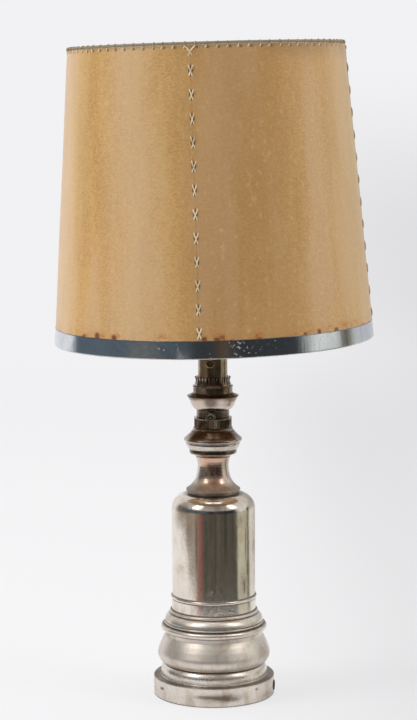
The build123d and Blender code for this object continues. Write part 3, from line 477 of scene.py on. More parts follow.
def parchment_finish(name):
    """Aged parchment, browner along its seams and rusted where the band touches it, with painted shade
    towards the front, painted light on the sides and painted shadows round the stitches.
    """
    finish, graph = new_finish(name)
    colours = finish_of()
    place = graph.hung_place()
    x, y, z = graph.axes(place)
    azimuth, height = graph.turn_of(x, y), z * 1000.0
    radius = BOTTOM_R - height * ((BOTTOM_R - TOP_R) / SHADE_H)
    quarter = radius * (pi / 2.0)
    lean = (SHADE_H / 2 - height) * tan(radians(SEAM_LEAN))
    across = ((azimuth - SEAM_AZIMUTH) * radius * (pi / 180.0) - lean) % quarter
    along = graph.maths("MINIMUM", across, quarter - across)
    stitch = ((height - CROSSES[0] + CROSS_PITCH / 2) % CROSS_PITCH - CROSS_PITCH / 2).size()
    broad = graph.noise(place, 13.0, 4.0, 0.55, 0.5, stretch=(1.0, 1.0, 0.30))
    bands = graph.noise(place, 24.0, 3.0, 0.5, stretch=(1.0, 1.0, 0.10))
    streaks = graph.noise(place, 95.0, 5.0, 0.62, 0.3, stretch=(1.0, 1.0, 0.12))
    pores = graph.noise(place, 520.0, 4.0, 0.65, 0.6, stretch=(0.7, 0.7, 1.3))
    grain = graph.noise(place, 1300.0, 3.0, 0.6, stretch=(0.6, 0.6, 1.4))
    tone = broad.step(0.25, 0.75) * 0.50 + streaks.step(0.28, 0.72) * 0.26 + pores.step(0.36, 0.66) * 0.66
    tone = (tone + grain.step(0.35, 0.65) * 0.42 - 0.44).clamped()
    colour = graph.mix(tone, colours.parchment, colours.parchment_dark)
    colour = graph.mix(bands.step(0.50, 0.66) * 0.35, colour, (0.64, 0.44, 0.27))
    colour = graph.mix(bands.step(0.46, 0.34) * 0.30, colour, (0.56, 0.39, 0.15))
    drift = (broad - 0.5) * 26.0
    # Darker and browner towards the front: partly browning, partly painted shade.
    browning_and_shade = (azimuth + drift).step(-24.0, -4.0) * (azimuth + drift).step(52.0, 20.0)
    colour = graph.mix(browning_and_shade * 0.42, colour, (0.37, 0.185, 0.05))
    # Painted light: paler towards the left.
    painted_light_left = (azimuth + drift).bump_at(-31.0, 15.0) * 0.45 + (azimuth + drift).step(-58.0, -72.0) * 0.5
    colour = graph.mix(painted_light_left, colour, (0.62, 0.44, 0.27))
    # Painted light: paler towards the right side.
    colour = graph.mix((azimuth + drift).step(46.0, 76.0) * 0.5, colour, (0.565, 0.405, 0.205))
    sooted = height.step(SHADE_H - 20.0, SHADE_H - 5.0) * azimuth.step(16.0, 38.0) * broad.step(0.38, 0.58)
    colour = graph.mix(sooted * 0.45, colour, (0.24, 0.135, 0.055))
    pale = graph.noise(place, 260.0, 3.0, 0.6, stretch=(1.0, 1.0, 0.6)).step(0.56, 0.74)
    colour = graph.mix(pale * 0.25, colour, (0.74, 0.53, 0.27))
    colour = graph.mix(along.step(5.0, 0.4) * 0.05, colour, (0.34, 0.20, 0.09))
    laced = height.step(12.0, 13.0) * height.step(256.0, 255.0)
    # Painted shadow round each crossed stitch, under its legs and at its holes.
    stitch_shadow = (1.0 - stitch / 6.4 - along / 2.7).step(0.0, 0.30) * laced
    colour = graph.mix(stitch_shadow * 0.82, colour, (0.10, 0.055, 0.025))
    loop = ((azimuth - SEAM_AZIMUTH) / LOOP_PITCH) % 1.0 - 0.5
    # Dark holes of the top loops, with painted shadow round them.
    hole = ((loop * (LOOP_PITCH * TOP_R * pi / 180.0) + 0.4) ** 2.0 + (height - SHADE_H + 4.8) ** 2.0) ** 0.5
    colour = graph.mix(hole.step(1.9, 0.7) * 0.75, colour, (0.12, 0.07, 0.035))
    # Inner face darker: smoke browning and painted shade.
    inside = ((x * x + y * y) ** 0.5 * 1000.0 - radius).step(-0.48, -0.55)
    colour = graph.mix(inside * 0.6, colour, (0.16, 0.11, 0.06))
    top = height.step(SHADE_H - 6.5, SHADE_H - 2.5) * grain.step(0.30, 0.60)
    colour = graph.mix(top * 0.65, colour, (0.20, 0.135, 0.065))
    foot = (height - 16.3).step(12.0, 0.0) * streaks.step(0.36, 0.60)
    colour = graph.mix(foot * 0.40, colour, (0.45, 0.22, 0.065))
    spots = graph.noise(place, 62.0, 3.0, 0.6, stretch=(1.0, 1.0, 1.6))
    near = (height - 16.8).step(9.0, 1.0)
    colour = graph.mix(spots.step(0.54, 0.64) * near * 0.8, colour, (0.46, 0.16, 0.03))
    colour = graph.mix(spots.step(0.62, 0.67) * (height - 16.8).step(5.0, 1.0), colour, (0.13, 0.04, 0.015))
    for mark_azimuth, wide, high in RUST_MARKS:
        ragged = (spots - 0.5) * 3.0 + (streaks - 0.5) * 2.0
        rust = azimuth.bump_at(mark_azimuth, wide) * (height - 16.0 + ragged).step(high, 0.4 * high)
        colour = graph.mix(rust.step(0.10, 0.55) * 0.75, colour, (0.42, 0.155, 0.035))
        colour = graph.mix(rust.step(0.50, 0.85) * 0.85, colour, (0.12, 0.045, 0.018))
    bump = graph.dents(pores * 0.7 + grain * 0.3, 0.35, 0.0003)
    waves = graph.dents(broad + streaks * 0.3, 0.20, 0.004, bump)
    graph.surface(Base_Color=colour, Roughness=0.30 + 0.12 * pores, Normal=waves, Specular_IOR_Level=0.75)
    return finish


def thread_finish(name, soiled=0.0):
    """Waxed thread, twisted of thin plies, soiled here and there."""
    finish, graph = new_finish(name)
    colours = finish_of()
    place = graph.place()
    plies = graph.noise(place, 1400.0, 3.0, 0.6, 0.4, stretch=(1.0, 1.0, 2.5))
    soil = graph.noise(place, 160.0, 3.0)
    amount = (soil.step(0.40, 0.72) * 0.45 + plies * 0.25 + soiled).clamped()
    colour = graph.mix(amount, colours.thread, (0.27, 0.20, 0.11))
    bump = graph.dents(plies, 0.8, 0.0003)
    graph.surface(Base_Color=colour, Roughness=0.72 + 0.12 * soil, Normal=bump)
    return finish


# ------------------------------------------------------------------ modelling steps


def start_clean():
    if bpy.context.mode != "OBJECT":
        bpy.ops.object.mode_set(mode="OBJECT")
    bpy.ops.object.select_all(action="DESELECT")


def arc_from(start, end, swell):
    """Points after start on the arc to end that swells to the right of the way drawn."""
    chord = hypot(end[0] - start[0], end[1] - start[1])
    if not swell:
        return [end]
    half_turn = 2.0 * atan(2.0 * abs(swell) / chord)
    radius = chord / 2.0 / sin(half_turn)
    steps = max(3, ceil(2.0 * half_turn / radians(ARC_STEP)))
    way = ((end[0] - start[0]) / chord, (end[1] - start[1]) / chord)
    side = (way[1], -way[0]) if swell > 0 else (-way[1], way[0])
    points = []
    for step in range(1, steps + 1):
        turn = half_turn * (2.0 * step / steps - 1.0)
        run = chord / 2.0 + radius * sin(turn)
        rise = radius * (cos(turn) - cos(half_turn))
        points.append((start[0] + way[0] * run + side[0] * rise, start[1] + way[1] * run + side[1] * rise))
    return points


def section(corners, edge):
    """Closed section in metres from corners (r, z, swell) in millimetres, its sharp corners rounded."""
    line = []
    here = corners[0][:2]
    for corner in corners[1:] + [corners[0][:2]]:
        swell = corner[2] if len(corner) == 3 else 0.0
        line += arc_from(here, corner[:2], swell)
        here = corner[:2]
    line = [(r * MM, z * MM) for r, z in line]
    rounded = []
    for index, point in enumerate(line):
        before, after = line[index - 1], line[(index + 1) % len(line)]
        one = Vector((before[0] - point[0], before[1] - point[1]))
        two = Vector((after[0] - point[0], after[1] - point[1]))
        sharp = degrees(one.angle(two)) < SHARP_BELOW
        if not sharp or point[0] < 1e-6:
            rounded.append(point)
            continue
        cut = min(edge, 0.4 * one.length, 0.4 * two.length)
        first = Vector(point) + one.normalized() * cut
        last = Vector(point) + two.normalized() * cut
        bend = first * 0.25 + Vector(point) * 0.5 + last * 0.25
        rounded += [tuple(first), tuple(bend), tuple(last)]
    held = []
    for index, point in enumerate(rounded):
        after = rounded[(index + 1) % len(rounded)]
        held.append(point)
        run = Vector((after[0] - point[0], after[1] - point[1]))
        if run.length > LONG_RUN * MM:
            keep = END_POINT * MM / run.length
            for share in (keep, 0.5, 1.0 - keep):
                held.append((point[0] + run.x * share, point[1] + run.y * share))
    return held


def spin_section(name, line, steps, turn=2.0 * pi, closed=True):
    """Draws the line vertex by vertex in the XZ plane and spins it about Z."""
    start_clean()
    bpy.ops.mesh.primitive_plane_add(size=MM, location=(line[0][0], 0.0, line[0][1]))
    piece = bpy.context.object
    piece.name = name
    bpy.ops.object.mode_set(mode="EDIT")
    bpy.ops.mesh.select_all(action="SELECT")
    bpy.ops.mesh.merge(type="CENTER")
    for before, after in zip(line, line[1:]):
        step = (after[0] - before[0], 0.0, after[1] - before[1])
        bpy.ops.mesh.extrude_vertices_move(TRANSFORM_OT_translate={"value": step})
    if closed:
        mesh = bmesh.from_edit_mesh(piece.data)
        mesh.verts.ensure_lookup_table()
        mesh.verts[0].select_set(True)
        mesh.verts[-1].select_set(True)
        bmesh.update_edit_mesh(piece.data)
        bpy.ops.mesh.edge_face_add()
    bpy.ops.mesh.select_all(action="SELECT")
    bpy.ops.mesh.spin(steps=steps, angle=turn, center=(0.0, 0.0, 0.0), axis=(0.0, 0.0, 1.0))
    bpy.ops.mesh.select_all(action="SELECT")
    bpy.ops.mesh.remove_doubles(threshold=2e-6)
    bpy.ops.mesh.normals_make_consistent(inside=False)
    bpy.ops.object.mode_set(mode="OBJECT")
    bpy.ops.object.transform_apply(location=True, rotation=True, scale=True)
    return piece


def turned(name, corners, steps=None):
    """Spun metal piece with softened edges."""
    shape = bpy.context.scene.lamp_shape
    piece = spin_section(name, section(corners, shape.edge), steps or shape.turning_steps)
    smooth(piece, 40.0)
    return piece


def select(*pieces):
    """Selects these pieces alone, the first of them active."""
    start_clean()
    for piece in pieces:
        piece.select_set(True)
    bpy.context.view_layer.objects.active = pieces[0]


def joined(pieces, name):
    select(*pieces)
    bpy.ops.object.join()
    whole = bpy.context.object
    whole.name = name
    return whole


def smooth(piece, angle):
    select(piece)
    bpy.ops.object.shade_smooth_by_angle(angle=radians(angle))


def pick(piece, rule):
    """Selects, in edit mode, the vertices whose place meets the rule."""
    mesh = bmesh.from_edit_mesh(piece.data)
    for vertex in mesh.verts:
        vertex.select_set(bool(rule(vertex.co)))
    mesh.select_flush_mode()
    bmesh.update_edit_mesh(piece.data)


def edit(piece):
    select(piece)
    bpy.ops.object.mode_set(mode="EDIT")
    bpy.ops.mesh.select_mode(type="VERT")


def apply_modifier(piece, kind, **settings):
    select(piece)
    modifier = piece.modifiers.new(kind.title(), kind)
    for name, value in settings.items():
        setattr(modifier, name, value)
    bpy.ops.object.modifier_apply(modifier=modifier.name)


def copies(piece, places):
    """One object of the piece repeated at each place, every copy with its own mesh."""
    group = []
    for place in places:
        select(piece)
        bpy.ops.object.duplicate(linked=False)
        copy = bpy.context.object
        copy.data.transform(place)
        if place.is_negative:
            copy.data.flip_normals()
        group.append(copy)
    name = piece.name
    bpy.data.objects.remove(piece)
    return joined(group, name)


def dress(piece, finish, *nodes, slot, body="lamp"):
    """Gives a new piece its finish, its body and the nodes that it stands for, which it hides. The slot is
    not used.
    """
    piece.data.materials.clear()
    piece.data.materials.append(finish)
    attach(piece, body)
    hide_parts(*nodes)


def paint(finish, *nodes):
    """Gives CAD nodes, whose shapes stay, a finish."""
    for node in nodes:
        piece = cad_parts[node]
        piece.data.materials.clear()
        piece.data.materials.append(finish)


def tube_along(name, points, radius):
    """Thread along points in millimetres, as a mesh."""
    start_clean()
    bpy.ops.curve.primitive_bezier_curve_add(location=(0.0, 0.0, 0.0))
    piece = bpy.context.object
    piece.name = name
    line = piece.data
    spline = line.splines[0]
    spline.bezier_points.add(len(points) - 2)
    for knot, point in zip(spline.bezier_points, points):
        knot.co = [part * MM for part in point]
        knot.handle_left_type = "AUTO"
        knot.handle_right_type = "AUTO"
    line.resolution_u = 2
    line.bevel_depth = radius
    line.bevel_resolution = 1
    line.use_fill_caps = True
    bpy.ops.object.convert(target="MESH")
    piece = bpy.context.object
    bpy.ops.object.mode_set(mode="EDIT")
    bpy.ops.mesh.select_all(action="SELECT")
    bpy.ops.mesh.remove_doubles(threshold=1e-6)
    bpy.ops.mesh.normals_make_consistent(inside=False)
    bpy.ops.object.mode_set(mode="OBJECT")
    smooth(piece, 60.0)
    return piece


# ------------------------------------------------------------------ foot, body and neck

# The winder knob's middle, in degrees and millimetres.
KNOB_AZIMUTH = -6.0
KNOB_HEIGHT = 267.4

# Tarnished, darkened and coppery places: azimuth, height, half width, half height and strength.
FOOT_MARKS = (
    (8.0, 9.0, 30.0, 6.5, 1.0), (-30.0, 20.0, 14.0, 3.0, 0.6), (36.0, 21.0, 20.0, 3.0, 0.6),
    (-58.0, 11.5, 5.0, 2.6, 1.3), (44.0, 13.5, 3.0, 2.2, 1.3), (60.0, 5.0, 18.0, 6.0, 0.6),
)
# Darker places on the front of the plate's wall.
FOOT_DARK_PLACES = (
    (-9.0, 10.0, 15.0, 2.6, 0.75), (6.0, 9.5, 15.0, 3.4, 0.65), (17.0, 7.5, 12.0, 3.0, 0.65),
    (-60.0, 11.0, 4.0, 2.2, 0.7),
)
THROAT_MARKS = ((0.0, 269.0, 180.0, 6.0, 0.8),)
# Painted shade: the dark reflected band below the throat's lip, its dark middle at the front and dark patches
# at both sides, painted near black.
THROAT_PAINTED_SHADE = (
    (0.0, 288.3, 900.0, 6.2, 1.3), (0.0, 267.5, 150.0, 9.5, 1.05), (-5.0, 281.5, 27.0, 8.5, 0.95),
    (58.0, 283.5, 42.0, 4.2, 0.9), (-62.0, 284.5, 40.0, 3.0, 0.7),
)
THROAT_BLUSH = ((0.0, 280.5, 900.0, 4.5, 0.40),)
# Painted shade: the dark reflection of the shade's underside on the cup's upper slope, and a dark ring low on
# the cup, painted near black.
CUP_PAINTED_SHADE = (
    (0.0, 250.5, 150.0, 9.0, 1.2), (0.0, 248.0, 24.0, 6.0, 0.7), (0.0, 233.2, 900.0, 2.9, 1.0),
    (-44.0, 247.0, 20.0, 4.0, 0.8),
)
DRUM_MARKS = (
    (30.0, 38.0, 26.0, 14.0, 0.5), (-70.0, 60.0, 16.0, 5.0, 0.7), (66.0, 44.0, 22.0, 16.0, 0.7),
    (12.0, 58.0, 30.0, 5.0, 0.4),
)
NECK_MARKS = ((0.0, 199.0, 900.0, 9.0, 0.75),)
# Painted shade: dark reflections at the front and right of the neck and a dark ring at its foot, painted near
# black.
NECK_PAINTED_SHADE = ((-4.0, 214.0, 60.0, 14.0, 0.30), (0.0, 199.0, 900.0, 6.5, 0.35), (64.0, 222.0, 26.0, 9.0, 0.4))
NECK_BLUSH = (
    (-4.0, 214.0, 70.0, 15.0, 0.9), (0.0, 227.0, 110.0, 9.5, 1.0), (24.0, 207.0, 60.0, 14.0, 0.5),
    (-6.0, 203.0, 60.0, 12.0, 0.4),
)
BODY_MARKS = (
    (-50.0, 176.0, 15.0, 17.0, 0.8), (-30.0, 136.0, 12.0, 48.0, 0.45), (46.0, 112.0, 12.0, 22.0, 0.9),
    (40.0, 172.0, 14.0, 9.0, 0.7), (80.0, 150.0, 26.0, 90.0, 1.0),
)
# Tarnish and painted shade: dark patches, and thin dark streaks painted along the ragged edges of the body's
# dark reflection.
BODY_TARNISH_AND_SHADE = (
    (-44.0, 181.0, 13.0, 9.0, 0.35), (-36.0, 160.0, 6.0, 22.0, 0.30), (49.5, 150.0, 2.6, 26.0, 0.65),
    (53.0, 124.0, 2.6, 14.0, 0.6), (47.0, 108.0, 3.2, 10.0, 0.6), (6.0, 186.0, 40.0, 4.0, 0.35),
    (-24.0, 150.0, 2.4, 40.0, 0.5), (3.0, 140.0, 2.0, 60.0, 0.25), (16.0, 160.0, 3.0, 44.0, 0.3),
)


class LAMP_OT_foot(bpy.types.Operator):
    """Spin the foot plate and drill its cord hole"""

    bl_idname = "lamp.foot"
    bl_label = "Foot"

    def execute(self, context):
        plate = turned("foot_plate_spun", [
            (57.3, 0.3), (57.3, 17.4), (56.5, 18.2, 0.24), (52.0, 18.2), (50.4, 19.8, -0.48), (50.4, 23.2),
            (46.8, 30.4, 0.9), (5.3, 30.4), (5.3, 28.9), (45.3, 28.9), (48.9, 23.2, -0.9), (48.9, 16.7),
            (55.8, 16.7), (55.8, 0.3),
        ])
        start_clean()
        bpy.ops.mesh.primitive_cylinder_add(vertices=40, radius=4.05 * MM, depth=8.0 * MM)
        drill = bpy.context.object
        out = Matrix.Rotation(radians(83.0), 4, "Z") @ Matrix.Rotation(radians(90.0), 4, "X")
        drill.data.transform(
            Matrix.Translation((0.0, 0.0, 8.0 * MM)) @ out @ Matrix.Translation((0.0, 0.0, 57.0 * MM))
        )
        apply_modifier(plate, "BOOLEAN", operation="DIFFERENCE", object=drill, solver="EXACT")
        bpy.data.objects.remove(drill)
        smooth(plate, 40.0)
        dress(
            plate,
            silver_plate("foot plate silver", (18.3, 30.3, 0.5), 0.60, 0.22, FOOT_MARKS, soot_and_shade=FOOT_DARK_PLACES),
            "foot_plate", slot="silver_plate",
        )
        return {"FINISHED"}


class LAMP_OT_drum(bpy.types.Operator):
    """Spin the cushion-shaped drum and the two rings on it"""

    bl_idname = "lamp.drum"
    bl_label = "Drum and rings"

    def execute(self, context):
        drum = turned("foot_drum_spun", [
            (46.8, 30.4), (53.4, 39.8, 1.8), (52.4, 44.3, 0.23), (46.4, 57.8, 0.35), (46.4, 62.2),
            (37.0, 62.2),
            (37.0, 60.7), (44.9, 60.7), (44.9, 57.8), (50.9, 44.3, -0.35), (51.9, 39.8, -0.23),
            (45.3, 30.4, -1.8),
        ])
        dress(
            drum, silver_plate("drum silver", (30.6, 62.0), 0.58, 0.36, DRUM_MARKS), "foot_drum",
            slot="silver_plate",
        )
        low = turned("foot_ring_lower_spun", [
            (48.3, 62.2), (48.3, 67.9, 2.05), (46.1, 68.2), (46.1, 70.7, 0.95), (45.3, 70.9), (37.0, 70.9),
            (37.0, 62.2),
        ])
        high = turned("foot_ring_upper_spun", [
            (46.6, 70.9), (41.9, 78.3, 1.2), (41.2, 78.8), (41.2, 81.5, 0.75), (40.4, 82.1), (37.0, 82.1),
            (37.0, 70.9),
        ])
        ring_silver = silver_plate("ring silver", (62.2, 68.0, 70.9, 78.6, 82.1), 0.60, 0.27)
        dress(low, ring_silver, "foot_ring_lower", slot="silver_plate")
        dress(high, ring_silver, "foot_ring_upper", slot="silver_plate")
        return {"FINISHED"}


class LAMP_OT_body(bpy.types.Operator):
    """Spin the body with its shoulder, and the beaded band at its foot"""

    bl_idname = "lamp.body"
    bl_label = "Body"

    def execute(self, context):
        band = turned(
            "body_band_spun", [(39.9, 82.1), (39.9, 92.7), (39.7, 96.1, 1.05), (37.8, 96.1), (37.8, 82.1)],
        )
        dress(
            band, silver_plate("band silver", (82.2, 92.6, 96.1), 0.5, 0.10), "body_band",
            slot="silver_plate",
        )
        body = turned("body_shell_spun", [
            (39.45, 96.1), (39.45, 178.5), (24.95, 193.0, 4.247), (14.0, 193.0), (14.0, 191.8),
            (24.95, 191.8),
            (38.25, 178.5, -3.895), (38.25, 96.1),
        ])
        dress(
            body, silver_plate("body silver", (96.2, 193.2), 0.45, 0.07, BODY_MARKS, soot_and_shade=BODY_TARNISH_AND_SHADE),
            "body_shell", slot="silver_plate",
        )
        return {"FINISHED"}


class LAMP_OT_neck(bpy.types.Operator):
    """Spin the neck"""

    bl_idname = "lamp.neck"
    bl_label = "Neck"

    def execute(self, context):
        neck = turned("neck_spun", [
            (24.0, 193.0), (24.0, 195.6), (25.4, 195.6), (25.4, 197.5, 0.25), (15.6, 211.0, -1.75),
            (14.45, 219.5, -0.15), (16.9, 228.9, -0.45), (15.4, 228.9), (12.95, 219.5, 0.45),
            (14.1, 211.0, 0.15),
            (22.5, 196.0, 1.75), (22.5, 194.5), (14.0, 194.5), (14.0, 193.0),
        ])
        dress(
            neck,
            silver_plate(
                "neck silver", (193.2, 228.8), 0.60, 0.17, NECK_MARKS, shine=0.86, soot_and_shade=NECK_PAINTED_SHADE,
                blush=NECK_BLUSH,
            ),
            "neck", slot="silver_plate",
        )
        return {"FINISHED"}


# ------------------------------------------------------------------ burner


class LAMP_OT_burner(bpy.types.Operator):
    """Spin the burner's cups and throat, and cut its knurled ring"""

    bl_idname = "lamp.burner"
    bl_label = "Burner"

    def execute(self, context):
        colours = finish_of()
        cup = turned("burner_cup_spun", [
            (16.9, 228.9), (22.0, 231.3, -0.3), (22.0, 235.2, 0.35), (23.2, 235.7), (25.7, 240.4, 0.15),
            (25.4, 241.9),
            (26.9, 243.1), (26.9, 245.9, 0.5), (20.3, 252.2, -0.25), (19.8, 252.8), (18.5, 254.8),
            (18.5, 255.8),
            (14.3, 255.8), (14.3, 254.3), (15.5, 253.3), (24.5, 244.5), (23.75, 240.4), (20.5, 235.2),
            (20.5, 232.3),
            (15.4, 230.7), (15.4, 228.9),
        ])
        dress(
            cup,
            silver_plate(
                "cup silver", (229.0, 235.4, 242.4, 252.6, 255.7), 0.7, 0.11, shine=0.82, soot_and_shade=CUP_PAINTED_SHADE,
            ),
            "burner_cup", slot="burner_bronze",
        )
        self.knurl(context, burner_metal("knurled bronze", colours.bronze, 0.6, 0.10))
        throat = turned("burner_throat_spun", [
            (15.4, 265.4), (15.4, 272.4), (20.4, 277.8, 0.7), (24.3, 285.6, -0.35), (23.9, 286.3, 0.15),
            (19.2, 288.4, -0.2),
            (19.2, 288.6), (5.3, 288.6), (5.3, 287.1), (18.2, 287.1), (21.6, 285.2), (18.9, 278.1),
            (14.3, 273.1),
            (14.3, 265.4),
        ])
        dress(
            throat,
            silver_plate(
                "throat silver", (265.6, 272.6, 287.8), 0.7, 0.11, THROAT_MARKS, shine=0.74, soot_and_shade=THROAT_PAINTED_SHADE,
                blush=THROAT_BLUSH,
            ),
            "burner_throat", slot="burner_bronze",
        )
        return {"FINISHED"}

    def knurl(self, context, finish):
        shape = context.scene.lamp_shape
        ring = turned("knurled_ring_cut", [
            (17.6, 255.8), (17.6, 264.5), (17.95, 264.6), (17.95, 265.4), (14.3, 265.4), (14.3, 255.8),
        ], 2 * shape.knurls)
        step = pi / shape.knurls

        def in_groove(place):
            outside = hypot(place.x, place.y) > 17.2 * MM and 256.1 * MM < place.z < 264.3 * MM
            return outside and round(atan2(place.y, place.x) / step) % 2

        edit(ring)
        pick(ring, in_groove)
        bpy.ops.transform.resize(value=(0.975, 0.975, 1.0), center_override=(0.0, 0.0, 0.0))
        bpy.ops.object.mode_set(mode="OBJECT")
        smooth(ring, 30.0)
        dress(ring, finish, "knurled_ring", slot="burner_bronze")


class LAMP_OT_gallery(bpy.types.Operator):
    """Spin the gallery ring and set its pointed tines round it"""

    bl_idname = "lamp.gallery"
    bl_label = "Gallery"

    def execute(self, context):
        shape = context.scene.lamp_shape
        ring = turned("gallery_ring_spun", [
            (18.6, 288.6), (18.6, 294.1), (18.6, 295.7, 0.45), (18.3, 295.8), (16.5, 295.8), (17.1, 294.6),
            (17.1, 288.6),
        ])
        dress(
            ring, burner_metal("gallery bronze", (0.25, 0.195, 0.16), 0.9, 0.09), "gallery_ring",
            slot="burner_bronze",
        )
        root = turned("prong_root", [
            (17.3, 295.8), (16.9, 297.6, -0.1), (16.1, 297.6), (16.5, 295.8, 0.1),
        ])
        rows = (
            (297.5, 2.85, 16.86), (299.6, 2.30, 16.15), (301.6, 1.72, 16.35), (303.1, 1.15, 16.85),
            (303.8, 0.75, 17.1),
        )
        start_clean()
        bpy.ops.mesh.primitive_grid_add(x_subdivisions=3, y_subdivisions=len(rows) - 1, size=2.0 * MM)
        tine = bpy.context.object
        tine.name = "gallery_prongs_cut"
        edit(tine)
        bpy.ops.transform.rotate(value=radians(-90.0), orient_axis="X", center_override=(0.0, 0.0, 0.0))
        mesh = bmesh.from_edit_mesh(tine.data)
        lowest = min(vertex.co.z for vertex in mesh.verts)
        pitch = 2.0 * MM / (len(rows) - 1)
        levels = [lowest + row * pitch for row in range(len(rows))]
        for level, (height, width, radius) in reversed(list(zip(levels, rows))):
            pick(tine, lambda place: abs(place.z - level) < 0.1 * pitch)
            bpy.ops.transform.resize(value=(width / 2.0, 1.0, 1.0), center_override=(0.0, 0.0, level))
            bpy.ops.transform.translate(value=(0.0, -(radius - 0.4) * MM, height * MM - level))
        bpy.ops.object.mode_set(mode="OBJECT")
        apply_modifier(tine, "SOLIDIFY", thickness=0.75 * MM, offset=0.0)
        apply_modifier(tine, "BEVEL", width=0.15 * MM, segments=2, limit_method="ANGLE")
        smooth(tine, 40.0)
        step = 2.0 * pi / shape.prongs
        tines = copies(tine, [Matrix.Rotation(index * step, 4, "Z") for index in range(shape.prongs)])
        tines = joined([tines, root], tines.name)
        dress(
            tines, burner_metal("prong bronze", (0.34, 0.275, 0.21), 0.7, 0.08), "gallery_prongs",
            slot="burner_bronze",
        )
        return {"FINISHED"}


class LAMP_OT_stem(bpy.types.Operator):
    """Spin the stem tube and finish its screw"""

    bl_idname = "lamp.stem"
    bl_label = "Stem"

    def execute(self, context):
        stem = turned("stem_tube_drawn", [(13.8, 288.6), (13.8, 360.0), (12.7, 360.0), (12.7, 288.6)])
        dress(stem, stem_brass("stem brass"), "stem_tube", slot="stem_brass")
        paint(burner_metal("screw brass", (0.26, 0.20, 0.14), 0.6, 0.14), "stem_screw")
        return {"FINISHED"}


class LAMP_OT_winder(bpy.types.Operator):
    """Finish the winder's knob, spindle, pinion, rack and carrier"""

    bl_idname = "lamp.winder"
    bl_label = "Winder"

    def execute(self, context):
        colours = finish_of()
        paint(knob_finish("knob bronze"), "winder_knob")
        paint(turned_metal("winder steel", (0.45, 0.44, 0.42), 0.28), "winder_spindle")
        paint(turned_metal("winder brass", colours.brass, 0.30), "winder_pinion", "winder_bush")
        paint(turned_metal("wick brass", colours.brass, 0.36), "wick_rack", "wick_carrier", "air_tube")
        return {"FINISHED"}


# ------------------------------------------------------------------ lampholder, bulb and inner pieces


class LAMP_OT_lampholder(bpy.types.Operator):
    """Finish the lampholder, its rings and the bulb"""

    bl_idname = "lamp.lampholder"
    bl_label = "Lampholder and bulb"

    def execute(self, context):
        colours = finish_of()
        paint(turned_metal("holder brass", colours.brass, 0.24), "holder_cap")
        paint(turned_metal("threaded brass", colours.brass, 0.26, pitch=2.5), "holder_skirt")
        paint(turned_metal("ring brass", colours.brass, 0.22), "clamp_ring_lower", "clamp_ring_upper")
        paint(turned_metal("shell brass", colours.brass, 0.25, pitch=3.6), "screw_shell", "centre_contact")
        paint(dull_finish("porcelain glaze", (0.86, 0.85, 0.80), 0.12, 500.0, 0.0001), "holder_core")
        paint(dull_finish("liner card", (0.62, 0.55, 0.42), 0.6, 900.0), "holder_liner")
        paint(turned_metal("terminal steel", (0.5, 0.5, 0.5), 0.3), "terminal_screws")
        paint(turned_metal("bulb cap metal", (0.72, 0.72, 0.73), 0.22, pitch=3.6), "bulb_cap", "bulb_tip")
        paint(dull_finish("bulb base black", (0.03, 0.03, 0.035), 0.15, 400.0, 0.0001), "bulb_plug")
        paint(clear_glass("bulb glass clear"), "bulb_glass")
        paint(clear_glass("bulb stem glass"), "bulb_stem")
        paint(turned_metal("filament metal", (0.30, 0.29, 0.28), 0.4), "bulb_filament")
        return {"FINISHED"}


class LAMP_OT_inner(bpy.types.Operator):
    """Finish the rod, nuts, washers, weight, cover, felt and cord bush"""

    bl_idname = "lamp.inner"
    bl_label = "Inner pieces"

    def execute(self, context):
        steel = (0.50, 0.50, 0.51)
        paint(turned_metal("rod steel", steel, 0.30, pitch=1.0), "threaded_rod")
        paint(turned_metal("nut steel", steel, 0.32), "base_nut", "stack_nut", "base_washer", "stack_washer")
        paint(
            turned_metal("disc steel", (0.42, 0.41, 0.40), 0.38), "body_disc", "neck_disc", "rod_sleeve",
            "bottom_cover",
        )
        paint(dull_finish("cast iron skin", (0.07, 0.068, 0.065), 0.62, 700.0), "ballast")
        paint(dull_finish("green felt", (0.035, 0.085, 0.045), 0.90, 1500.0, 0.0006), "felt_pad")
        paint(dull_finish("bush plastic", (0.02, 0.02, 0.02), 0.45, 600.0, 0.0001), "inlet_bush")
        return {"FINISHED"}


# ------------------------------------------------------------------ shade


def on_sheet(angle, height):
    """Frame on the parchment: X sideways, Y up the slope, Z outwards. Millimetres and radians."""
    radius = cone_r(height)
    slope = (BOTTOM_R - TOP_R) / SHADE_H
    side = Vector((-sin(angle), cos(angle), 0.0))
    up = Vector((-slope * cos(angle), -slope * sin(angle), 1.0)).normalized()
    turn = Matrix((side, up, side.cross(up))).transposed().to_4x4()
    return HANG @ Matrix.Translation((radius * cos(angle) * MM, radius * sin(angle) * MM, height * MM)) @ turn


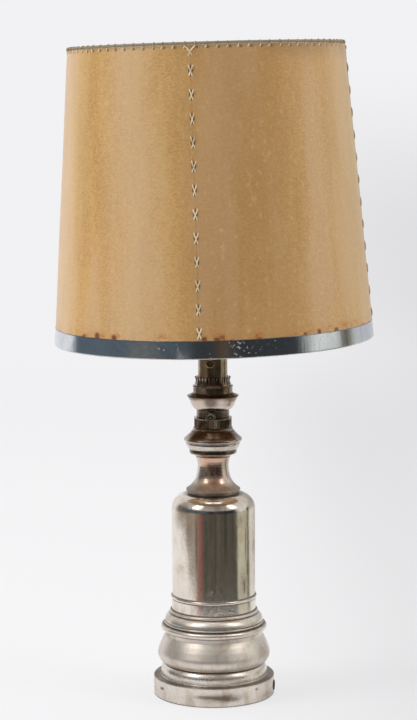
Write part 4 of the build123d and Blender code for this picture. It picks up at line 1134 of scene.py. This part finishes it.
class LAMP_OT_parchment(bpy.types.Operator):
    """Form the four parchment panels, their seam edges standing up a little between the stitches"""

    bl_idname = "lamp.parchment"
    bl_label = "Parchment"

    def execute(self, context):
        shape = context.scene.lamp_shape
        finish = parchment_finish("parchment")
        low, high = 0.7, SHADE_H - 2.6
        rows = 66
        line = []
        for row in range(rows + 1):
            height = low + (high - low) * row / rows
            line.append((cone_r(height) * MM, height * MM))
        panels = []
        for index in range(SEAMS):
            panel = spin_section(f"parchment_panel_{index + 1}", line, 72, pi / 2.0 - PANEL_GAP, closed=False)
            self.bend(panel, index, shape.ridge)
            apply_modifier(panel, "SOLIDIFY", thickness=shape.sheet, offset=-1.0)
            panel.data.transform(HANG)
            smooth(panel, 50.0)
            panels.append(panel)
        whole = joined(panels, "parchment_panels_laced")
        dress(whole, finish, "parchment_panels", body="shade", slot="parchment")
        return {"FINISHED"}

    def bend(self, panel, index, ridge):
        """Turns a panel to its seam, lets it follow the seam's lean and lifts its edges."""
        turned_out = self.faces_out(panel)
        for vertex in panel.data.vertices:
            height = vertex.co.z / MM
            turn = abs(atan2(vertex.co.y, vertex.co.x))
            edge = min(turn, pi / 2.0 - PANEL_GAP - turn) * cone_r(height)
            near = min(abs(height - cross) for cross in CROSSES)
            free = min(1.0, max(0.0, (height - 17.5) / 4.0))
            lift = ridge * free * (1.0 - 0.75 * max(0.0, 1.0 - near / 6.0)) * max(0.0, 1.0 - edge / 4.0) ** 2
            wave = SHEET_WAVE * sin(turn * 9.0 + index * 2.1 + height * 0.021) * sin(height * 0.026 + index)
            radius = cone_r(height) * MM + lift - ridge * 0.4 + wave - SHEET_WAVE
            angle = seam_angle(index, height) + PANEL_GAP / 2 + turn
            vertex.co.x = radius * cos(angle)
            vertex.co.y = radius * sin(angle)
        if not turned_out:
            panel.data.flip_normals()

    def faces_out(self, panel):
        face = panel.data.polygons[len(panel.data.polygons) // 2]
        return face.normal.x * face.center.x + face.normal.y * face.center.y > 0.0


class LAMP_OT_lacing(bpy.types.Operator):
    """Lay the crossed stitches along the seams and the loops over the top wire"""

    bl_idname = "lamp.lacing"
    bl_label = "Lacing"

    def execute(self, context):
        shape = context.scene.lamp_shape
        finish = thread_finish("lacing thread")
        soiled = thread_finish("soiled thread", 0.55)
        for index, side in enumerate(("front", "right", "back", "left")):
            lacing = self.seam(index, side, shape.thread)
            dress(
                lacing, soiled if side == "right" else finish, f"seam_lacing_{side}", body="shade",
                slot="lacing",
            )
        loops, ends = self.edge(shape.thread)
        dress(ends, finish, "edge_lacing", body="shade", slot="lacing")
        dress(loops, soiled, "edge_lacing", body="shade", slot="lacing")
        return {"FINISHED"}

    def leg(self, name, start, end, over, radius):
        """One thread from hole to hole in the sheet's frame, in millimetres."""
        points = []
        top = 0.55 + 0.5 * over
        for share, lift in ((0.0, -0.35), (0.07, 0.35), (0.35, top), (0.65, top), (0.93, 0.35), (1.0, -0.35)):
            x = start[0] + (end[0] - start[0]) * share
            y = start[1] + (end[1] - start[1]) * share
            points.append((x, y, lift))
        return tube_along(name, points, radius)

    def seam(self, index, side, radius):
        chance = Random(40 + index)
        under = self.leg("under", (-2.1, 5.1), (1.5, -5.1), 0.0, radius)
        above = self.leg("above", (2.1, 5.1), (-1.5, -5.1), 1.0, radius)
        cross = joined([under, above], "cross")
        places = []
        for height in CROSSES:
            tilt = Matrix.Rotation(chance.uniform(-0.05, 0.05), 4, "Z")
            stretch = Matrix.Diagonal((chance.uniform(0.88, 1.08), chance.uniform(0.94, 1.02), 1.0, 1.0))
            places.append(on_sheet(seam_angle(index, height), height) @ tilt @ stretch)
        crosses = copies(cross, places)
        top = SHADE_H - 4.2
        left = self.leg("vee_left", (-3.8, 0.0), (0.4, -4.6), 0.0, radius)
        right = self.leg("vee_right", (3.8, 0.3), (-0.4, -4.6), 1.0, radius)
        low_left = self.leg("tail_left", (0.1, -4.8), (-1.7, -7.6), 0.0, radius * 0.85)
        low_right = self.leg("tail_right", (-0.1, -4.8), (1.7, -7.4), 0.0, radius * 0.85)
        vee = joined([left, right, low_left, low_right], "vee")
        vee.data.transform(on_sheet(seam_angle(index, top), top))
        return joined([crosses, vee], f"seam_stitches_{side}")

    def edge(self, radius):
        """Soiled loops over the top wire, and the clean ends that show at their holes."""
        chance = Random(7)
        loop = tube_along("edge_loops", [
            (0.0, -3.6, 0.3), (0.1, -1.6, 0.85),
            (0.2, -0.2, 0.65), (0.5, 0.30, -0.5), (0.7, -0.2, -2.0),
            (0.9, -1.8, -2.15), (1.2, -4.8, -1.15), (1.3, -5.3, -0.6),
        ], LOOP_SLIMMER * radius)
        end = tube_along("edge_ends", [
            (-1.3, -5.5, -0.4), (-0.9, -5.1, 0.35), (-0.2, -4.1, 0.5),
            (0.1, -3.3, 0.35),
        ], radius)
        places = []
        for number in range(LOOPS):
            angle = (
                seam_angle(0, SHADE_H) + (number + 0.5 + chance.uniform(-0.10, 0.10)) * radians(LOOP_PITCH)
            )
            places.append(on_sheet(angle, SHADE_H) @ Matrix.Rotation(chance.uniform(-0.12, 0.12), 4, "Z"))
        return copies(loop, places), copies(end, places)


class LAMP_OT_band(bpy.types.Operator):
    """Spin the chromed band and hang it on the shade"""

    bl_idname = "lamp.band"
    bl_label = "Chrome band"

    def execute(self, context):
        shape = context.scene.lamp_shape
        corners = [
            (148.1, 0.0), (149.3, 1.2, 0.3), (148.0, 16.3), (147.5, 16.3), (148.8, 1.2), (148.8, 0.5),
            (143.79, 0.5), (143.79, 4.0), (143.29, 4.0), (143.29, 0.0),
        ]
        band = spin_section("chrome_band_rolled", section(corners, shape.edge), 192)
        band.data.transform(HANG)
        smooth(band, 40.0)
        dress(band, chrome_sheet("chrome sheet"), "chrome_band", body="shade", slot="chrome_sheet")
        return {"FINISHED"}


class LAMP_OT_shade_frame(bpy.types.Operator):
    """Finish the shade's wires, arms and ring"""

    bl_idname = "lamp.shade_frame"
    bl_label = "Shade frame"

    def execute(self, context):
        wire = dull_finish("wire enamel", (0.62, 0.60, 0.54), 0.32, 500.0, 0.0001)
        paint(wire, "fitter_ring", "shade_arms", "shade_bottom_wire")
        paint(dull_finish("top wire wrapping", (0.30, 0.24, 0.155), 0.55, 420.0, 0.0004), "shade_top_wire")
        return {"FINISHED"}


# ------------------------------------------------------------------ stage


class LAMP_OT_stage(bpy.types.Operator):
    """Set up the camera, the floor with its backdrop, the lights and the world"""

    bl_idname = "lamp.stage"
    bl_label = "Stage"

    def execute(self, context):
        self.camera(context)
        self.floor()
        self.light("key_light", (-1.75, -0.55, 1.45), 1.0, 1.3, 19.0)
        self.light("fill_light", (1.70, -0.60, 1.45), 0.5, 1.2, 9.0)
        self.world(context)
        context.scene.view_settings.view_transform = "Standard"
        return {"FINISHED"}

    def camera(self, context):
        pitch, yaw, roll = (radians(turn) for turn in CAMERA_TURN)
        ahead = Vector((sin(yaw) * cos(pitch), cos(yaw) * cos(pitch), -sin(pitch)))
        right = Vector((cos(yaw), -sin(yaw), 0.0))
        above = right.cross(ahead)
        side = right * cos(roll) + above * sin(roll)
        up = above * cos(roll) - right * sin(roll)
        data = bpy.data.cameras.new("photo_camera")
        data.lens = FOCAL_PIXELS * SENSOR_MM / PICTURE_HEIGHT
        data.sensor_width = SENSOR_MM
        data.clip_end = 50.0
        camera = bpy.data.objects.new("photo_camera", data)
        context.scene.collection.objects.link(camera)
        turn = Matrix((side, up, -ahead)).transposed().to_4x4()
        camera.matrix_world = Matrix.Translation(CAMERA_PLACE) @ turn
        context.scene.camera = camera

    def floor(self):
        """Floor that curves up into a backdrop."""
        start_clean()
        bpy.ops.mesh.primitive_plane_add(size=2.0, location=(0.0, 0.0, 0.0))
        floor = bpy.context.object
        floor.name = "studio_floor"
        edit(floor)
        bpy.ops.transform.resize(value=(FLOOR_HALF_X, FLOOR_HALF_Y, 1.0), center_override=(0.0, 0.0, 0.0))
        bpy.ops.transform.translate(value=(0.0, FLOOR_SHIFT_Y, 0.0))
        pick(floor, lambda place: place.y > 1.0)
        bpy.ops.mesh.extrude_edges_move(TRANSFORM_OT_translate={"value": (0.0, 0.0, WALL_HEIGHT)})
        pick(floor, lambda place: place.y > 1.0 and place.z < 0.1)
        bpy.ops.mesh.bevel(offset=WALL_BEND, segments=24, affect="EDGES")
        bpy.ops.object.mode_set(mode="OBJECT")
        smooth(floor, 40.0)
        colours = finish_of()
        finish, graph = new_finish("studio paper")
        place = graph.place()
        x, y, z = graph.axes(place)
        paper = graph.noise(place, 3.0, 2.0)
        tone = graph.mix(
            paper.step(0.2, 0.8) * 0.3, colours.floor, tuple(0.985 * part for part in colours.floor),
        )
        azimuth = graph.turn_of(x, y)
        away = (x * x + y * y) ** 0.5
        # Glossy rays see a painted darker room on the floor, with things in it: what the metal mirrors.
        left = azimuth + 56.0 + (away - 0.47) * 114.0 + (paper - 0.5) * 20.0
        folds = graph.noise(graph.vector(azimuth * 0.085, away * 0.9, 0.0), 1.6, 4.0, 0.6, 0.4)
        things = graph.mix(folds.step(0.38, 0.62), (0.36, 0.32, 0.27), (0.15, 0.125, 0.095))
        depth = graph.mix(folds.step(0.35, 0.65), (0.050, 0.052, 0.040), (0.095, 0.088, 0.074))
        room = graph.mix(azimuth.step(-50.0, -30.0), things, depth)
        room = graph.mix(azimuth.bump_at(-36.0, 11.0) * away.step(1.6, 1.1) * 0.9, room, (0.26, 0.095, 0.085))
        room = graph.mix(azimuth.bump_at(12.0, 9.0) * 0.4, room, (0.16, 0.13, 0.11))
        room = graph.mix(azimuth.step(64.0, 72.0), room, (0.50, 0.50, 0.40))
        room = graph.mix(azimuth.bump_at(108.0, 7.0), room, (0.10, 0.09, 0.055))
        room = graph.mix(away.step(3.5, 5.5) * azimuth.step(-55.0, -68.0), room, (0.11, 0.145, 0.185))
        side = (
            left.step(-6.0, 14.0) * azimuth.step(-124.0, -112.0) * azimuth.step(122.0, 112.0)
            * away.step(0.30, 0.40)
        )
        glossy = graph.add("ShaderNodeLightPath", out="Is Glossy Ray")
        tone = graph.mix(glossy * side, tone, room)
        paint_lit = graph.add(
            "ShaderNodeBsdfPrincipled", None,
            {"Base Color": tone, "Roughness": 0.85, "Specular IOR Level": 0.0},
        )
        # Painted light on the floor and backdrop: darker towards the right, and the backdrop darker low on
        # the right.
        near = graph.mix(x.step(-0.06, 0.27), (0.915, 0.915, 0.93), (0.745, 0.745, 0.76))
        wall = graph.mix(
            x.step(-0.05, 0.70) * z.step(0.80, 0.15), (0.885, 0.885, 0.90), (0.745, 0.745, 0.758),
        )
        behind, outside = y.step(1.2, 3.2), away.step(2.5, 7.0)
        shade = graph.mix(behind, graph.mix(outside, near, FAR_SIDE), wall)
        seen = graph.add("ShaderNodeEmission", None, {"Color": shade, "Strength": 1.0})
        camera = graph.add("ShaderNodeLightPath", out="Is Camera Ray")
        share = (
            camera * (0.72 + 0.28 * (behind + outside).clamped()) + glossy * behind
            * azimuth.step(-116.0, -123.0)
        )
        graph.finish(graph.add("ShaderNodeMixShader", None, {0: share, 1: paint_lit, 2: seen}))
        floor.data.materials.append(finish)

    def light(self, name, place, width, height, power):
        data = bpy.data.lights.new(name, "AREA")
        data.shape = "RECTANGLE"
        data.size = width
        data.size_y = height
        data.energy = power
        lamp = bpy.data.objects.new(name, data)
        lamp.visible_glossy = False
        bpy.context.scene.collection.objects.link(lamp)
        way = Vector((0.0, 0.0, 0.25)) - Vector(place)
        lamp.matrix_world = Matrix.Translation(place) @ way.to_track_quat("-Z", "Y").to_matrix().to_4x4()

    def world(self, context):
        """Pale studio all round, with the darker room behind the camera for what metal mirrors."""
        world = bpy.data.worlds.new("studio")
        world.use_nodes = True
        graph = Graph(world.node_tree)
        way = graph.add("ShaderNodeTexCoord", out="Generated")
        x, y, z = graph.axes(way)
        azimuth = graph.turn_of(x, y)
        rise = graph.maths("ARCSINE", z) * (180.0 / pi)
        rough = graph.noise(way, 2.2, 3.0)
        seen = azimuth + (rough - 0.5) * 16.0
        before = seen.step(-122.0, -116.0) * seen.step(78.0, 60.0)
        room = graph.mix(seen.step(-30.0, -12.0), (0.088, 0.118, 0.150), (0.030, 0.034, 0.040))
        room = graph.mix(seen.bump_at(8.0, 10.0) * 0.5, room, (0.16, 0.10, 0.06))
        ceiling = graph.mix(rise.step(50.0, 62.0), (0.48, 0.47, 0.45), (1.20, 1.18, 1.14))
        ceiling = graph.mix(azimuth.bump_at(14.0, 24.0) * 0.85, ceiling, (0.26, 0.25, 0.235))
        room = graph.mix(rise.step(15.0, 26.0), room, ceiling)
        studio = graph.mix(z.step(-0.2, 0.9), (1.12, 1.12, 1.09), (0.72, 0.72, 0.71))
        studio = graph.mix(azimuth.step(0.0, 60.0) * 0.6, studio, (0.64, 0.66, 0.63))
        mirrored = graph.mix(before, studio, room)
        left_box = azimuth.bump_at(-53.0, 21.0) * rise.step(18.0, 40.0)
        right_box = azimuth.bump_at(62.0, 17.0) * rise.step(18.0, 40.0)
        mirrored = graph.mix((left_box + right_box).clamped(), mirrored, BRIGHT_BOX)
        even = graph.mix(azimuth.size().step(40.0, 110.0), (0.56, 0.56, 0.57), (1.18, 1.17, 1.16))
        glossy = graph.add("ShaderNodeLightPath", out="Is Glossy Ray")
        colour = graph.mix(glossy, even, mirrored)
        light = graph.add("ShaderNodeBackground", None, {"Color": colour, "Strength": 1.0})
        shown = graph.add("ShaderNodeBackground", None, {"Color": FAR_SIDE, "Strength": 1.0})
        camera = graph.add("ShaderNodeLightPath", out="Is Camera Ray")
        both = graph.add("ShaderNodeMixShader", None, {0: camera, 1: light, 2: shown})
        graph.finish(both, "ShaderNodeOutputWorld")
        context.scene.world = world


class LAMP_PT_panel(bpy.types.Panel):
    """Sidebar panel with the sizes, the colours and a button for each piece"""

    bl_label = "Table lamp"
    bl_idname = "LAMP_PT_panel"
    bl_space_type = "VIEW_3D"
    bl_region_type = "UI"
    bl_category = "Table lamp"

    def draw(self, context):
        for group in (context.scene.lamp_shape, context.scene.lamp_finish):
            for name in group.bl_rna.properties.keys():
                if name not in ("rna_type", "name"):
                    self.layout.prop(group, name)
        for operator in OPERATORS:
            self.layout.operator(operator.bl_idname)


OPERATORS = (
    LAMP_OT_foot, LAMP_OT_drum, LAMP_OT_body, LAMP_OT_neck, LAMP_OT_burner, LAMP_OT_gallery, LAMP_OT_stem,
    LAMP_OT_winder, LAMP_OT_lampholder, LAMP_OT_inner, LAMP_OT_parchment, LAMP_OT_lacing, LAMP_OT_band,
    LAMP_OT_shade_frame, LAMP_OT_stage,
)
CLASSES = (LampShape, LampFinish, *OPERATORS, LAMP_PT_panel)


def register():
    for item in CLASSES:
        bpy.utils.register_class(item)
    bpy.types.Scene.lamp_shape = PointerProperty(type=LampShape)
    bpy.types.Scene.lamp_finish = PointerProperty(type=LampFinish)


def unregister():
    del bpy.types.Scene.lamp_finish
    del bpy.types.Scene.lamp_shape
    for item in reversed(CLASSES):
        bpy.utils.unregister_class(item)


def main():
    register()
    for operator in OPERATORS:
        getattr(bpy.ops.lamp, operator.bl_idname.split(".")[1])()


if __name__ == "__main__":
    main()
